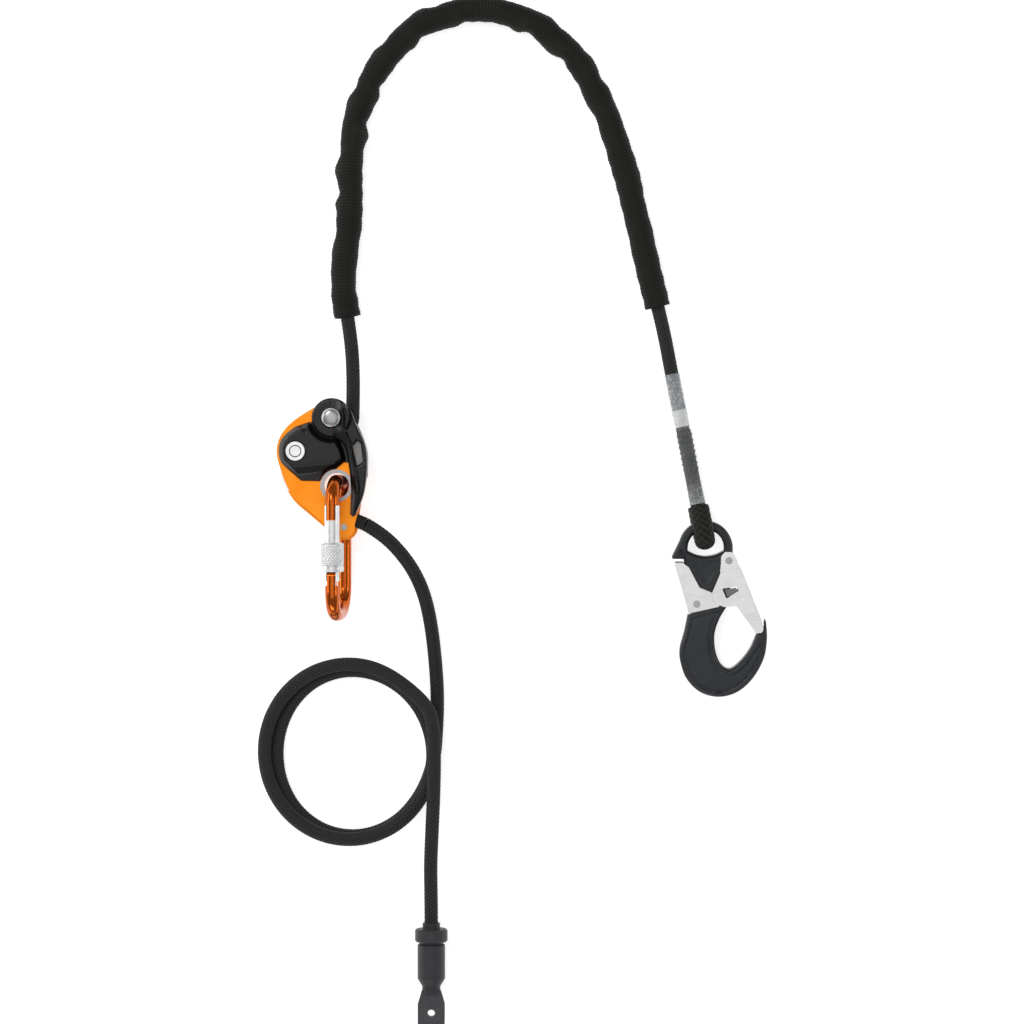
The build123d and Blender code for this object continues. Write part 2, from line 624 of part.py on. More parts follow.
def upper_tight():
    """The two corners round the eye's bar, and the shoulder where the strands close up."""
    turn = len(GRAB_TOP) + len(WEBBING_ROUTE) + len(HOOK_END) + 1
    return {turn: TURN_R, turn + 1: TURN_R, turn + 2: SHOULDER_R}


def inner_points():
    """The rope inside the grab: in at the top, round the left of the bollard, out below."""
    x, y, _ = GRAB_AT
    corners = [(11.5, 44.5), polar(WRAP_R / math.cos(math.radians(26.8)), 168.3),
               polar(WRAP_R / math.cos(math.radians(26.8)), 222)]
    return [GRAB_TOP[0]] + [(x + cx, y + cy, CHANNEL_Z) for cx, cy in corners] + [EXIT]


def rope_in_grab():
    return rope_tube("rope_in_grab", inner_points(), {2: WRAP_R - 0.1, 3: WRAP_R - 0.1})


def rope_upper():
    return rope_tube("rope_upper", upper_points(), upper_tight())


def rope_lower():
    return rope_tube("rope_lower", LOWER_ROUTE)


def rope_tail():
    return rope_tube("rope_tail", TAIL_ROUTE)


def rope_loop_coil():
    """Outer shape of the two turns lying in the tail, with the strand that crosses over them."""
    ring = Ellipse(*LOOP_OUTER) - Pos(*LOOP_INNER_SHIFT) * Ellipse(*LOOP_INNER)
    coil = extrude(ring, amount=LOOP_HEIGHT)
    x, y, _ = TAIL_ROUTE[0]
    start = Pos(x - LOOP_AT[0], y - LOOP_AT[1], 0)
    over = block((-ROPE_R, 0, LOOP_HEIGHT - 1), (ROPE_R, 74, OVER_Z + ROPE_R))
    return Pos(LOOP_AT[0], LOOP_AT[1], 0) * (coil + start * over)


def webbing_protector():
    """Tube of webbing that slides on the rope where it runs over edges."""
    wire = route_wire(WEBBING_ROUTE)
    return along(wire, Circle(WEBBING_Z) - Circle(7.4))


def double_section(distance, top, radius):
    """Outline round both strands, square to the loop, with the upper strand's centre at top."""
    plane = Plane(origin=on_loop(distance, (LOOP_LOW_Z + top) / 2),
                  x_dir=(LOOP_DIR[1], -LOOP_DIR[0], 0), z_dir=(LOOP_DIR[0], LOOP_DIR[1], 0))
    return plane * SlotOverall(top - LOOP_LOW_Z + 2 * radius, 2 * radius, rotation=90)


def sheath_neck():
    """The shrunk clear sleeve on the single strand, above the splice."""
    route = [HOOK_END[1], (THROAT[0], THROAT[1], LOOP_LOW_Z), on_loop(SPLICE_FROM, LOOP_LOW_Z)]
    return along(route_wire(route), Circle(SHEATH_OUT) - Circle(SHEATH_IN))


def clear_sheath():
    """The sleeve round the doubled rope, flared where the strands part."""
    def filled(radius):
        head = double_section(SPLICE_FROM, DOUBLE_Z, radius)
        waist = double_section(FLARE_FROM, DOUBLE_Z, radius)
        mouth = double_section(SHEATH_END, FLARE_Z, radius)
        return loft([head, waist]) + loft([waist, mouth])
    return filled(SHEATH_OUT) - filled(SHEATH_IN)


def id_label():
    """Thin printed wrap round the single strand at the top of the sheath."""
    start = Plane(origin=on_loop(-4, LOOP_LOW_Z), z_dir=(LOOP_DIR[0], LOOP_DIR[1], 0))
    return start * extrude(Circle(LABEL_R[1]) - Circle(LABEL_R[0]), amount=LABEL_WIDTH)


def splice_stitching():
    """Thread bands that bind the doubled rope inside the sheath."""
    bands = []
    for i in range(BAND_COUNT):
        distance = BAND_FROM + BAND_PITCH * i
        outer = double_section(distance, DOUBLE_Z, BAND_R[1])
        inner = double_section(distance, DOUBLE_Z, BAND_R[0])
        bands.append(extrude(outer - inner, amount=BAND_WIDTH))
    return Compound(children=bands)


def loop_guard():
    """Woven wear sleeve on the rope where it bears on the hook's eye."""
    slope = (LOOP_HIGH_Z - DOUBLE_Z) / (SHOULDER_AT - MEET_AT)
    end_z = LOOP_HIGH_Z - slope * (SHOULDER_AT - GUARD_FROM)
    points = [on_loop(GUARD_FROM, LOOP_LOW_Z), on_loop(TURN_AT, LOOP_LOW_Z),
              on_loop(TURN_AT, LOOP_HIGH_Z), on_loop(SHOULDER_AT, LOOP_HIGH_Z),
              on_loop(GUARD_FROM, end_z)]
    wire = FilletPolyline(*points, radius=[TURN_R, TURN_R, SHOULDER_R])
    section = Plane(origin=wire @ 0, x_dir=(-LOOP_DIR[1], LOOP_DIR[0], 0), z_dir=wire % 0)
    return sweep(section * (Ellipse(7.4, 5.95) - Circle(ROPE_R + SLIP)), path=wire)


def end_stop():
    """Moulded rope end with a flange, a barrel and a flat tab with a hole."""
    x, y, _ = TAIL_ROUTE[-1]
    profile = [
        (0, 0), (6.6, 0), (6.6, -4.4), (11.3, -4.4), (STOP_FLANGE_R, -5.4), (STOP_FLANGE_R, -13.2),
        (11.3, -14.2), (9.2, -14.2), (9.2, -15.6), (STOP_BARREL_R, -16.6), (STOP_BARREL_R, -42.0),
        (8.6, -45.0), (6.9, -47.6), (6.9, -53.0), (0, -53.0),
    ]
    turned = revolve(make_face(Polyline(*profile, close=True)), axis=Axis.Y)
    tab = slab(rounded([(-6.9, -50.0), (6.9, -50.0), (10.2, -61.0), (10.2, -77.4),
                        (-10.2, -77.4), (-10.2, -61.0)], 2.0), -STOP_TAB_T / 2, STOP_TAB_T / 2)
    stop = turned + tab
    stop -= disc((0, -68.0), STOP_HOLE_R, -20, 20)
    stop -= Pos(0, -15, 0) * Rot(90, 0, 0) * Cylinder(ROPE_R + SLIP, 60)
    stop += Pos(0, -44.0, 0) * Rot(90, 0, 0) * Cylinder(ROPE_R + 0.5, 4)
    return Pos(x, y, STOP_AXIS_Z) * stop


def rope_end_core():
    """The rope's own end inside the moulded stop."""
    x, y, z = TAIL_ROUTE[-1]
    return Pos(x, y - 19.5, z) * Rot(90, 0, 0) * Cylinder(ROPE_R, 39)


# ---- everything, by node name ----------------------------------------------------------

def placed(shape):
    return grab_frame() * shape


def all_parts():
    return {
        "front_side_plate": placed(side_plate(FRONT_Z, 0)),
        "rear_side_plate": placed(side_plate(REAR_Z, 1.7)),
        "eye_bush": placed(eye_bush()),
        "rope_bollard": placed(rope_bollard()),
        "axle_spacer": placed(axle_spacer()),
        "lever_axle": placed(lever_axle()),
        "cam_axle": placed(cam_axle()),
        "tail_rivet": placed(tail_rivet()),
        "tail_spacer": placed(tail_spacer()),
        "front_cover": placed(front_cover()),
        "cam": placed(cam()),
        "cam_spring": placed(cam_spring()),
        "release_lever": placed(release_lever()),
        "lever_wear_plate": placed(lever_wear_plate()),
        "lever_spring": placed(lever_spring()),
        "carabiner_body": carabiner_body(),
        "carabiner_gate": carabiner_gate(),
        "gate_cross_pin": gate_pin(CROSS_PIN_V, BARREL_R + 0.02),
        "gate_pivot_pin": gate_pin(GATE_PIVOT_V, BARREL_R - 0.3),
        "gate_plunger": gate_plunger(),
        "gate_spring": gate_spring(),
        "screw_sleeve": screw_sleeve(),
        "hook_body": hook_body(),
        "hook_gate": hook_gate(),
        "hook_lock_lever": hook_lock_lever(),
        "hook_gate_rivet": hook_rivet(GATE_RIVET),
        "hook_lever_rivet": hook_rivet(LEVER_RIVET),
        "hook_gate_spring": hook_spring(GATE_RIVET),
        "hook_lever_spring": hook_spring(LEVER_RIVET),
        "rope_upper": rope_upper(),
        "rope_in_grab": rope_in_grab(),
        "rope_lower": rope_lower(),
        "rope_loop_coil": rope_loop_coil(),
        "rope_tail": rope_tail(),
        "rope_end_core": rope_end_core(),
        "webbing_protector": webbing_protector(),
        "sheath_neck": sheath_neck(),
        "clear_sheath": clear_sheath(),
        "id_label": id_label(),
        "splice_stitching": splice_stitching(),
        "loop_guard": loop_guard(),
        "end_stop": end_stop(),
    }


os.makedirs("parts", exist_ok=True)
for name, shape in all_parts().items():
    export_step(shape, f"parts/{name}.step")
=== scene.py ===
import json
import math
import bpy
import numpy as np
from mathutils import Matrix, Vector
from mathutils.geometry import delaunay_2d_cdt


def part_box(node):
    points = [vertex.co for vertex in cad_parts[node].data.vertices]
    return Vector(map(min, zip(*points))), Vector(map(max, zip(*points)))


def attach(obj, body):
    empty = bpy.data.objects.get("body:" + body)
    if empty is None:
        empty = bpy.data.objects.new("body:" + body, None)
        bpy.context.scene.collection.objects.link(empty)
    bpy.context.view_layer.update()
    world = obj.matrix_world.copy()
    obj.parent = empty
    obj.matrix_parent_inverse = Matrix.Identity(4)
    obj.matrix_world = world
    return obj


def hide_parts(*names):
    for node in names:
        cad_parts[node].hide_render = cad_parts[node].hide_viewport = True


# Work-positioning lanyard with a lever-released rope grab, lying flat on a white table.
# Metres; +X runs from the grab to the hook, +Y along the rope's arch, +Z up from the table.

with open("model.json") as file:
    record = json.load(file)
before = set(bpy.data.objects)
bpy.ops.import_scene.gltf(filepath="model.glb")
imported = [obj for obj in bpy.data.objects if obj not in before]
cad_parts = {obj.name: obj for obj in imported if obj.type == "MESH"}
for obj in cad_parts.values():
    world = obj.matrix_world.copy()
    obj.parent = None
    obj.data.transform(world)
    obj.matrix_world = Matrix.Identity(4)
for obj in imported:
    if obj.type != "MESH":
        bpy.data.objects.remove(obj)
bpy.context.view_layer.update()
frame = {"nodes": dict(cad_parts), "record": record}
NODES = frame["nodes"]
SLOTS = {row["node"]: row["material_slot"] for row in frame["record"]["subparts"]}
MM = 0.001


# ---- camera, light and table ----------------------------------------------------

LOOK_AT = (-0.0080, 0.0266)
CAMERA_HEIGHT = 2.5
VIEW_WIDTH = 0.778
SENSOR = 36.0


def add_camera():
    data = bpy.data.cameras.new("camera")
    data.sensor_width = SENSOR
    data.lens = SENSOR * CAMERA_HEIGHT / VIEW_WIDTH
    data.clip_end = 20
    camera = bpy.data.objects.new("camera", data)
    camera.location = (LOOK_AT[0], LOOK_AT[1], CAMERA_HEIGHT)
    bpy.context.scene.collection.objects.link(camera)
    bpy.context.scene.camera = camera


def add_area(name, at, aim, width, height, power):
    data = bpy.data.lights.new(name, "AREA")
    data.shape = "RECTANGLE"
    data.size = width
    data.size_y = height
    data.energy = power
    lamp = bpy.data.objects.new(name, data)
    lamp.location = at
    lamp.rotation_euler = (Vector(aim) - Vector(at)).to_track_quat("-Z", "Y").to_euler()
    bpy.context.scene.collection.objects.link(lamp)


def add_studio():
    world = bpy.data.worlds.new("studio")
    world.use_nodes = True
    backdrop = world.node_tree.nodes["Background"]
    backdrop.inputs["Color"].default_value = (0.86, 0.88, 0.92, 1)
    backdrop.inputs["Strength"].default_value = 0.36
    bpy.context.scene.world = world
    bpy.context.scene.view_settings.view_transform = "Standard"
    centre = (0, 0.05, 0)
    add_area("overhead", (0, 0, 3.0), centre, 2.6, 2.6, 17)
    add_area("key", (-0.9, 1.2, 2.2), centre, 0.9, 0.35, 12)
    add_area("left", (-1.9, 0.5, 0.75), centre, 1.5, 0.5, 10)
    add_area("right", (2.0, 0.2, 0.9), centre, 1.3, 0.4, 7)
    add_area("rim", (-0.4, -1.9, 0.8), centre, 1.5, 0.35, 8)


def add_table():
    mesh = bpy.data.meshes.new("table")
    half = 2.5
    mesh.from_pydata([(-half, -half, 0), (half, -half, 0), (half, half, 0), (-half, half, 0)],
                     [], [(0, 1, 2, 3)])
    table = bpy.data.objects.new("table", mesh)
    table.location.z = -0.0005
    bpy.context.scene.collection.objects.link(table)
    material = bpy.data.materials.new("table_white")
    material.use_nodes = True
    shader = material.node_tree.nodes["Principled BSDF"]
    shader.inputs["Base Color"].default_value = (0.92, 0.92, 0.92, 1)
    shader.inputs["Roughness"].default_value = 0.8
    shader.inputs["Emission Color"].default_value = (1, 1, 1, 1)
    shader.inputs["Emission Strength"].default_value = 0.62
    mesh.materials.append(material)


# ---- materials --------------------------------------------------------------------

class Paint:
    """A procedural material: a Principled shader, and short calls that add detail to it."""

    def __init__(self, name, roughness, metallic=0.0):
        self.material = bpy.data.materials.new(name)
        self.material.use_nodes = True
        self.nodes = self.material.node_tree.nodes
        self.links = self.material.node_tree.links
        self.shader = self.nodes["Principled BSDF"]
        self.shader.inputs["Roughness"].default_value = roughness
        self.shader.inputs["Metallic"].default_value = metallic
        self.where = self.nodes.new("ShaderNodeTexCoord").outputs["Object"]
        self.bumped = None

    def set(self, **values):
        for key, value in values.items():
            self.shader.inputs[key.replace("_", " ")].default_value = value
        return self

    def link(self, source, target):
        self.links.new(source, target)

    def stretch(self, scale):
        mapping = self.nodes.new("ShaderNodeMapping")
        mapping.inputs["Scale"].default_value = scale
        self.link(self.where, mapping.inputs["Vector"])
        return mapping.outputs["Vector"]

    def noise(self, scale, detail=4.0, stretch=(1, 1, 1), rough=0.6):
        node = self.nodes.new("ShaderNodeTexNoise")
        node.inputs["Scale"].default_value = scale
        node.inputs["Detail"].default_value = detail
        node.inputs["Roughness"].default_value = rough
        self.link(self.stretch(stretch), node.inputs["Vector"])
        return node.outputs["Fac"]

    def ramp(self, source, stops):
        node = self.nodes.new("ShaderNodeValToRGB")
        band = node.color_ramp
        band.elements[0].position = stops[0][0]
        band.elements[0].color = (*stops[0][1], 1)
        band.elements[1].position = stops[-1][0]
        band.elements[1].color = (*stops[-1][1], 1)
        for at, colour in stops[1:-1]:
            band.elements.new(at).color = (*colour, 1)
        self.link(source, node.inputs["Fac"])
        return node.outputs["Color"]

    def grade(self, source, low, high, start=0.3, end=0.7):
        node = self.nodes.new("ShaderNodeMapRange")
        node.inputs["From Min"].default_value = start
        node.inputs["From Max"].default_value = end
        node.inputs["To Min"].default_value = low
        node.inputs["To Max"].default_value = high
        self.link(source, node.inputs["Value"])
        return node.outputs["Result"]

    def mix(self, share, first, second):
        node = self.nodes.new("ShaderNodeMix")
        node.data_type = "RGBA"
        for value, slot in ((share, 0), (first, 6), (second, 7)):
            if isinstance(value, (tuple, float)):
                node.inputs[slot].default_value = value if isinstance(value, float) else (*value, 1)
            else:
                self.link(value, node.inputs[slot])
        return node.outputs[2]

    def attribute(self, name):
        node = self.nodes.new("ShaderNodeAttribute")
        node.attribute_name = name
        return node.outputs["Fac"]

    def edges(self, low, high):
        """Where the surface is convex or hollow: 1 on convex edges, where painted highlight goes, and 0 on
        flats and in hollows.
        """
        node = self.nodes.new("ShaderNodeNewGeometry")
        return self.grade(node.outputs["Pointiness"], 0.0, 1.0, low, high)

    def bump(self, source, depth, strength=1.0):
        node = self.nodes.new("ShaderNodeBump")
        node.inputs["Strength"].default_value = strength
        node.inputs["Distance"].default_value = depth
        self.link(source, node.inputs["Height"])
        if self.bumped:
            self.link(self.bumped, node.inputs["Normal"])
        self.bumped = node.outputs["Normal"]
        self.link(self.bumped, self.shader.inputs["Normal"])
        return self

    def colour(self, source):
        self.link(source, self.shader.inputs["Base Color"])
        return self

    def roughen(self, source):
        self.link(source, self.shader.inputs["Roughness"])
        return self


def anodised(name, dark, light, roughness, grain):
    paint = Paint(name, roughness, 1.0)
    fine = paint.noise(2600, 3)
    cloud = paint.noise(60, 3)
    base = paint.mix(paint.grade(cloud, 0.0, 1.0), dark, light)
    paint.colour(base).roughen(paint.grade(fine, roughness - 0.06, roughness + 0.1))
    return paint.bump(fine, grain).material


def turned_steel(name, tone, roughness):
    paint = Paint(name, roughness, 1.0)
    streak = paint.noise(900, 4, (1, 1, 6))
    cloud = paint.noise(140, 2)
    low = tuple(c * 0.86 for c in tone)
    paint.colour(paint.mix(paint.grade(cloud, 0.0, 1.0), low, tone))
    paint.roughen(paint.grade(streak, roughness - 0.08, roughness + 0.1))
    return paint.bump(streak, 0.00003).material


def brushed_sheet(name, tone):
    paint = Paint(name, 0.3, 1.0)
    brush = paint.noise(420, 5, (0.35, 5, 1))
    cloud = paint.noise(70, 3)
    low = tuple(c * 0.9 for c in tone)
    paint.colour(paint.mix(paint.grade(cloud, 0.0, 1.0), low, tone))
    paint.roughen(paint.grade(brush, 0.24, 0.42))
    return paint.bump(brush, 0.00004).material


def moulding(name, dark, light, roughness, grain):
    """Moulded plastic with a fine spark-eroded texture, and painted highlight on its convex edges."""
    paint = Paint(name, roughness)
    texture = paint.noise(2200, 4)
    cloud = paint.noise(45, 3)
    base = paint.mix(paint.grade(cloud, 0.0, 1.0), dark, light)
    # A lighter colour on convex edges: painted highlight for the soft highlights on the bevels.
    painted_edge_highlight = tuple(min(1.0, c * 2.2 + 0.012) for c in light)
    paint.colour(paint.mix(paint.edges(0.54, 0.66), base, painted_edge_highlight))
    paint.roughen(paint.grade(texture, roughness - 0.08, roughness + 0.1))
    paint.set(Specular_IOR_Level=0.36)
    return paint.bump(texture, grain).material


def woven(name, dark, light, sheen):
    """Yarn: the braid's own relief is in the mesh, and this adds filaments and a little sheen, and paints
    light from the lift attribute: painted highlight where it is high, on the strands' backs, and painted
    shade where it is low, in the gaps.
    """
    paint = Paint(name, 0.62)
    lift = paint.attribute("lift")
    fuzz = paint.noise(1500, 5)
    # Painted shade in the gaps between strands, painted highlight on their backs.
    strand_highlight_and_gap_shade = paint.ramp(lift, [(0.0, dark), (0.62, tuple(a + b * 0.22 for a, b in zip(dark, light))),
                               (1.0, light)])
    paint.colour(paint.mix(paint.grade(fuzz, 0.0, 0.35), strand_highlight_and_gap_shade, tuple(c * 1.5 for c in light)))
    paint.set(Sheen_Weight=sheen, Sheen_Roughness=0.45, Specular_IOR_Level=0.16)
    paint.roughen(paint.grade(fuzz, 0.5, 0.78))
    return paint.bump(fuzz, 0.00012).material


def clear_film():
    """Shrunk clear plastic: milky over the single strand, clearer over the stitching."""
    paint = Paint("clear_film", 0.16)
    speckle = paint.noise(620, 4)
    cloud = paint.noise(90, 3)
    milk = paint.attribute("lift")
    paint.colour(paint.mix(paint.grade(cloud, 0.0, 1.0), (0.60, 0.65, 0.68), (0.90, 0.90, 0.90)))
    share = paint.nodes.new("ShaderNodeMath")
    share.operation = "MULTIPLY_ADD"
    paint.link(paint.grade(speckle, 0.0, 0.30, 0.45, 0.62), share.inputs[0])
    paint.link(milk, share.inputs[1])
    paint.link(paint.grade(milk, 0.05, 0.40, 0.0, 1.0), share.inputs[2])
    paint.link(share.outputs[0], paint.shader.inputs["Alpha"])
    paint.set(Specular_IOR_Level=0.7, Coat_Weight=0.4, Coat_Roughness=0.12)
    return paint.bump(cloud, 0.0008, 0.7).material


def label_film():
    paint = Paint("label_film", 0.38)
    fade = paint.noise(260, 4)
    paint.colour(paint.mix(paint.grade(fade, 0.0, 1.0), (0.86, 0.84, 0.81), (0.97, 0.95, 0.92)))
    return paint.bump(fade, 0.0003).material


def make_materials():
    return {
        "orange_anodised": anodised("orange_plate", (0.96, 0.265, 0.014), (1.0, 0.325, 0.028), 0.36, 0.00003),
        "copper_anodised": anodised("copper_bar", (0.47, 0.085, 0.010), (0.60, 0.125, 0.016), 0.17, 0.00001),
        "black_moulding": moulding("black_moulding", (0.0035, 0.0035, 0.0038), (0.0065, 0.0065, 0.007), 0.25,
                                   0.00005),
        "polished_steel": turned_steel("polished_steel", (0.86, 0.86, 0.86), 0.17),
        "plain_steel": turned_steel("plain_steel", (0.66, 0.66, 0.67), 0.28),
        "satin_aluminium": turned_steel("satin_aluminium", (0.84, 0.84, 0.83), 0.42),
        "grey_forging": moulding("grey_forging", (0.016, 0.0175, 0.020), (0.025, 0.027, 0.030), 0.36,
                                 0.00005),
        "sheet_steel": brushed_sheet("sheet_steel", (0.80, 0.795, 0.785)),
        "black_rope": woven("black_rope", (0.0004, 0.0004, 0.0004), (0.042, 0.041, 0.038), 0.02),
        "black_webbing": woven("black_webbing", (0.0007, 0.0007, 0.0006), (0.028, 0.027, 0.022), 0.02),
        "clear_shrink": clear_film(),
        "dull_steel": brushed_sheet("dull_steel", (0.20, 0.19, 0.18)),
        "grey_steel": turned_steel("grey_steel", (0.42, 0.42, 0.42), 0.3),
        "white_label": label_film(),
        "pale_thread": woven("dark_thread", (0.01, 0.01, 0.011), (0.07, 0.07, 0.075), 0.1),
        "grey_moulding": moulding("grey_moulding", (0.020, 0.020, 0.022), (0.030, 0.030, 0.033), 0.5,
                                  0.00007),
    }


def paint_nodes(materials):
    tones = {"lever_wear_plate": "dull_steel", "eye_bush": "grey_steel", "tail_rivet": "grey_steel",
             "hook_gate_rivet": "grey_steel", "hook_lever_rivet": "grey_steel"}
    for name, node in NODES.items():
        material = materials[tones.get(name, SLOTS[name])]
        if node.material_slots:
            for slot in node.material_slots:
                slot.material = material
        else:
            node.data.materials.append(material)


# ---- the rope's routes, in metres, as in the CAD ------------------------------------

ROPE_R = 5.25 * MM
GRAB = (-139.8 * MM, 46.4 * MM)
CHANNEL_Z = 20.25 * MM
EXIT = (-0.1185, 0.0174, CHANNEL_Z)
LOW_Z, HIGH_Z, DOUBLE_Z = 0.0064, 0.0287, 0.0172
THROAT = (0.1194, 0.0999)
LOOP_DIR = (0.187, -0.982)
TURN_AT, SHOULDER_AT, MEET_AT, SPLICE_END = 0.0974, 0.0774, 0.0564, 0.012
WEBBING_Z = 0.0095
OVER_Z = 5 * ROPE_R


def on_loop(distance, height):
    return (THROAT[0] + LOOP_DIR[0] * distance, THROAT[1] + LOOP_DIR[1] * distance, height)


def round_bollard(radius, degrees):
    turn = math.radians(degrees)
    return (GRAB[0] + radius * math.cos(turn), GRAB[1] + radius * math.sin(turn), CHANNEL_Z)


INSIDE_GRAB = [
    EXIT, round_bollard(0.0212, 222), round_bollard(0.0212, 168.3),
    (GRAB[0] + 0.0115, GRAB[1] + 0.0445, CHANNEL_Z),
]
GRAB_TOP = [(-0.1279, 0.104, CHANNEL_Z), (-0.1277, 0.127, 0.0175), (-0.1290, 0.150, 0.0122)]
ARCH = [
    (-0.1324, 0.174, WEBBING_Z), (-0.1364, 0.198, WEBBING_Z), (-0.1336, 0.227, WEBBING_Z),
    (-0.1300, 0.256, WEBBING_Z), (-0.1312, 0.287, WEBBING_Z), (-0.1274, 0.318, WEBBING_Z),
    (-0.1194, 0.345, WEBBING_Z), (-0.1038, 0.371, WEBBING_Z), (-0.0818, 0.394, WEBBING_Z),
    (-0.0563, 0.404, WEBBING_Z), (-0.0303, 0.408, WEBBING_Z), (-0.0058, 0.4035, WEBBING_Z),
    (0.0177, 0.3915, WEBBING_Z), (0.0397, 0.3715, WEBBING_Z), (0.0567, 0.344, WEBBING_Z),
    (0.0692, 0.313, WEBBING_Z), (0.0790, 0.280, WEBBING_Z), (0.0874, 0.246, WEBBING_Z),
    (0.0947, 0.212, WEBBING_Z), (0.1026, 0.181, WEBBING_Z),
]
HOOK_END = [(0.1080, 0.158, 0.0076), (0.1130, 0.131, LOW_Z)]
ROUND_EYE = [
    on_loop(0, LOW_Z), on_loop(0.034, LOW_Z), on_loop(0.0751, LOW_Z), on_loop(TURN_AT, LOW_Z),
    on_loop(TURN_AT, HIGH_Z), on_loop(SHOULDER_AT, HIGH_Z), on_loop(MEET_AT, DOUBLE_Z),
    on_loop(SPLICE_END, DOUBLE_Z),
]
MAIN_ROUTE = INSIDE_GRAB + GRAB_TOP + ARCH + HOOK_END + ROUND_EYE

LOWER = [
    EXIT, (-0.1075, 0.0110, 0.018), (-0.0950, -0.0005, 0.0135), (-0.0830, -0.0165, 0.0085),
    (-0.0744, -0.0355, 0.0056), (-0.0692, -0.059, ROPE_R), (-0.0661, -0.086, ROPE_R),
    (-0.0644, -0.112, ROPE_R),
]
LOOP_CENTRE = (-0.1322, -0.1552)
COIL_START, COIL_END, COIL_STEP = 16, -675, 24
COIL_HEIGHTS = {16: 5.3, -250: 5.3, -325: 13.5, -350: 15.9, -450: 15.4, -540: 10.4, -630: 14.9, -675: 18.5}
OVER_COIL = [
    (-0.0712, -0.1185, 0.0225), (-0.0668, -0.136, 0.0262), (-0.0664, -0.160, 0.0262),
    (-0.0668, -0.180, 0.0262),
]
TAIL = [
    (-0.0674, -0.198, OVER_Z), (-0.0684, -0.218, 0.0245), (-0.0694, -0.240, 0.0195),
    (-0.0692, -0.262, 0.0140), (-0.0690, -0.284, 0.0124), (-0.0690, -0.3215, 0.0124),
]


def coil_route():
    """Two loose turns, clockwise: the second lies on the first, and outside it on the left."""
    route = []
    for degrees in range(COIL_START, COIL_END - 1, -COIL_STEP):
        turn = math.radians(degrees)
        first = 61.6 + 4.0 * math.cos(turn) - 1.05 * math.sin(turn) - 2.7 * math.cos(2 * turn)
        second = 66.45 + 1.05 * math.cos(turn) + 0.75 * math.sin(turn) - 1.2 * math.cos(2 * turn)
        share = min(1.0, max(0.0, (-degrees - 290) / 80))
        radius = first + (second - first) * share
        if degrees > -45:
            radius += 7.5 * ((degrees + 45) / 63) ** 2
        angles = sorted(COIL_HEIGHTS)
        height = float(np.interp(degrees, angles, [COIL_HEIGHTS[a] for a in angles]))
        route.append((LOOP_CENTRE[0] + radius * MM * math.cos(turn),
                      LOOP_CENTRE[1] + radius * MM * math.sin(turn), height * MM))
    return route


# ---- lines and swept surfaces ---------------------------------------------------------

def spline_line(name, route):
    """The smooth line of a route: points read from its NURBS spline."""
    data = bpy.data.curves.new(name, "CURVE")
    data.dimensions = "3D"
    spline = data.splines.new("NURBS")
    spline.points.add(len(route) - 1)
    for point, place in zip(spline.points, route):
        point.co = (*place, 1)
    spline.order_u = 3
    spline.use_endpoint_u = True
    spline.resolution_u = 16
    line = bpy.data.objects.new(name, data)
    bpy.context.scene.collection.objects.link(line)
    bpy.context.view_layer.update()
    mesh = bpy.data.meshes.new_from_object(line)
    points = np.array([v.co for v in mesh.vertices])
    bpy.data.objects.remove(line)
    bpy.data.meshes.remove(mesh)
    return points


def run_of(points):
    return np.concatenate([[0], np.cumsum(np.linalg.norm(np.diff(points, axis=0), axis=1))])


def evenly(points, step):
    run = run_of(points)
    count = max(2, int(round(run[-1] / step)) + 1)
    at = np.linspace(0, run[-1], count)
    return np.stack([np.interp(at, run, points[:, i]) for i in range(3)], axis=1)


def stretch_between(points, start, end):
    """The part of a line between two places on it, each the nearest point to a given one."""
    first = int(np.argmin(np.linalg.norm(points - np.array(start), axis=1)))
    last = int(np.argmin(np.linalg.norm(points - np.array(end), axis=1)))
    return points[min(first, last):max(first, last) + 1]


def carried_frames(points):
    """Side and up directions carried smoothly down a line."""
    along = np.gradient(points, axis=0)
    along /= np.linalg.norm(along, axis=1)[:, None]
    side = np.cross(along[0], (0, 0, 1.0))
    side /= np.linalg.norm(side)
    sides = []
    for direction in along:
        side = side - direction * side.dot(direction)
        side /= np.linalg.norm(side)
        sides.append(side)
    sides = np.array(sides)
    return sides, np.cross(sides, along)


def dress(piece, material, body, slot, *replaced):
    """Give a piece its material and body, and hide the CAD nodes it stands for; the slot argument is not
    used.
    """
    piece.data.materials.append(material)
    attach(piece, body)
    if replaced:
        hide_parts(*replaced)
    return piece


def surface(name, verts, faces, lift=None):
    mesh = bpy.data.meshes.new(name)
    mesh.from_pydata([tuple(v) for v in verts], [], faces)
    if lift is not None:
        layer = mesh.attributes.new("lift", "FLOAT", "POINT")
        layer.data.foreach_set("value", np.clip(lift, 0, 1).astype(np.float32))
    mesh.polygons.foreach_set("use_smooth", [True] * len(mesh.polygons))
    mesh.update()
    piece = bpy.data.objects.new(name, mesh)
    bpy.context.scene.collection.objects.link(piece)
    return piece


def ring_faces(rings, around):
    """The quads between neighbouring rings of points."""
    faces = []
    for i in range(rings - 1):
        for j in range(around):
            k = (j + 1) % around
            faces.append((i * around + j, i * around + k, (i + 1) * around + k, (i + 1) * around + j))
    return faces


def end_faces(rings, around):
    last = (rings - 1) * around
    return [tuple(reversed(range(around))), tuple(last + j for j in range(around))]


def swept(name, points, around, section):
    """A tube on a line; section(run, angle) gives its half-widths sideways and up, and lift."""
    sides, ups = carried_frames(points)
    run = run_of(points)[:, None]
    angle = np.linspace(0, 2 * np.pi, around, endpoint=False)[None, :]
    wide, tall, lift = section(run, angle)
    ring = np.cos(angle)[..., None] * wide[..., None] * sides[:, None, :]
    ring = ring + np.sin(angle)[..., None] * tall[..., None] * ups[:, None, :]
    verts = (points[:, None, :] + ring).reshape(-1, 3)
    faces = ring_faces(len(points), around) + end_faces(len(points), around)
    return surface(name, verts, faces, np.broadcast_to(lift, wide.shape).reshape(-1))


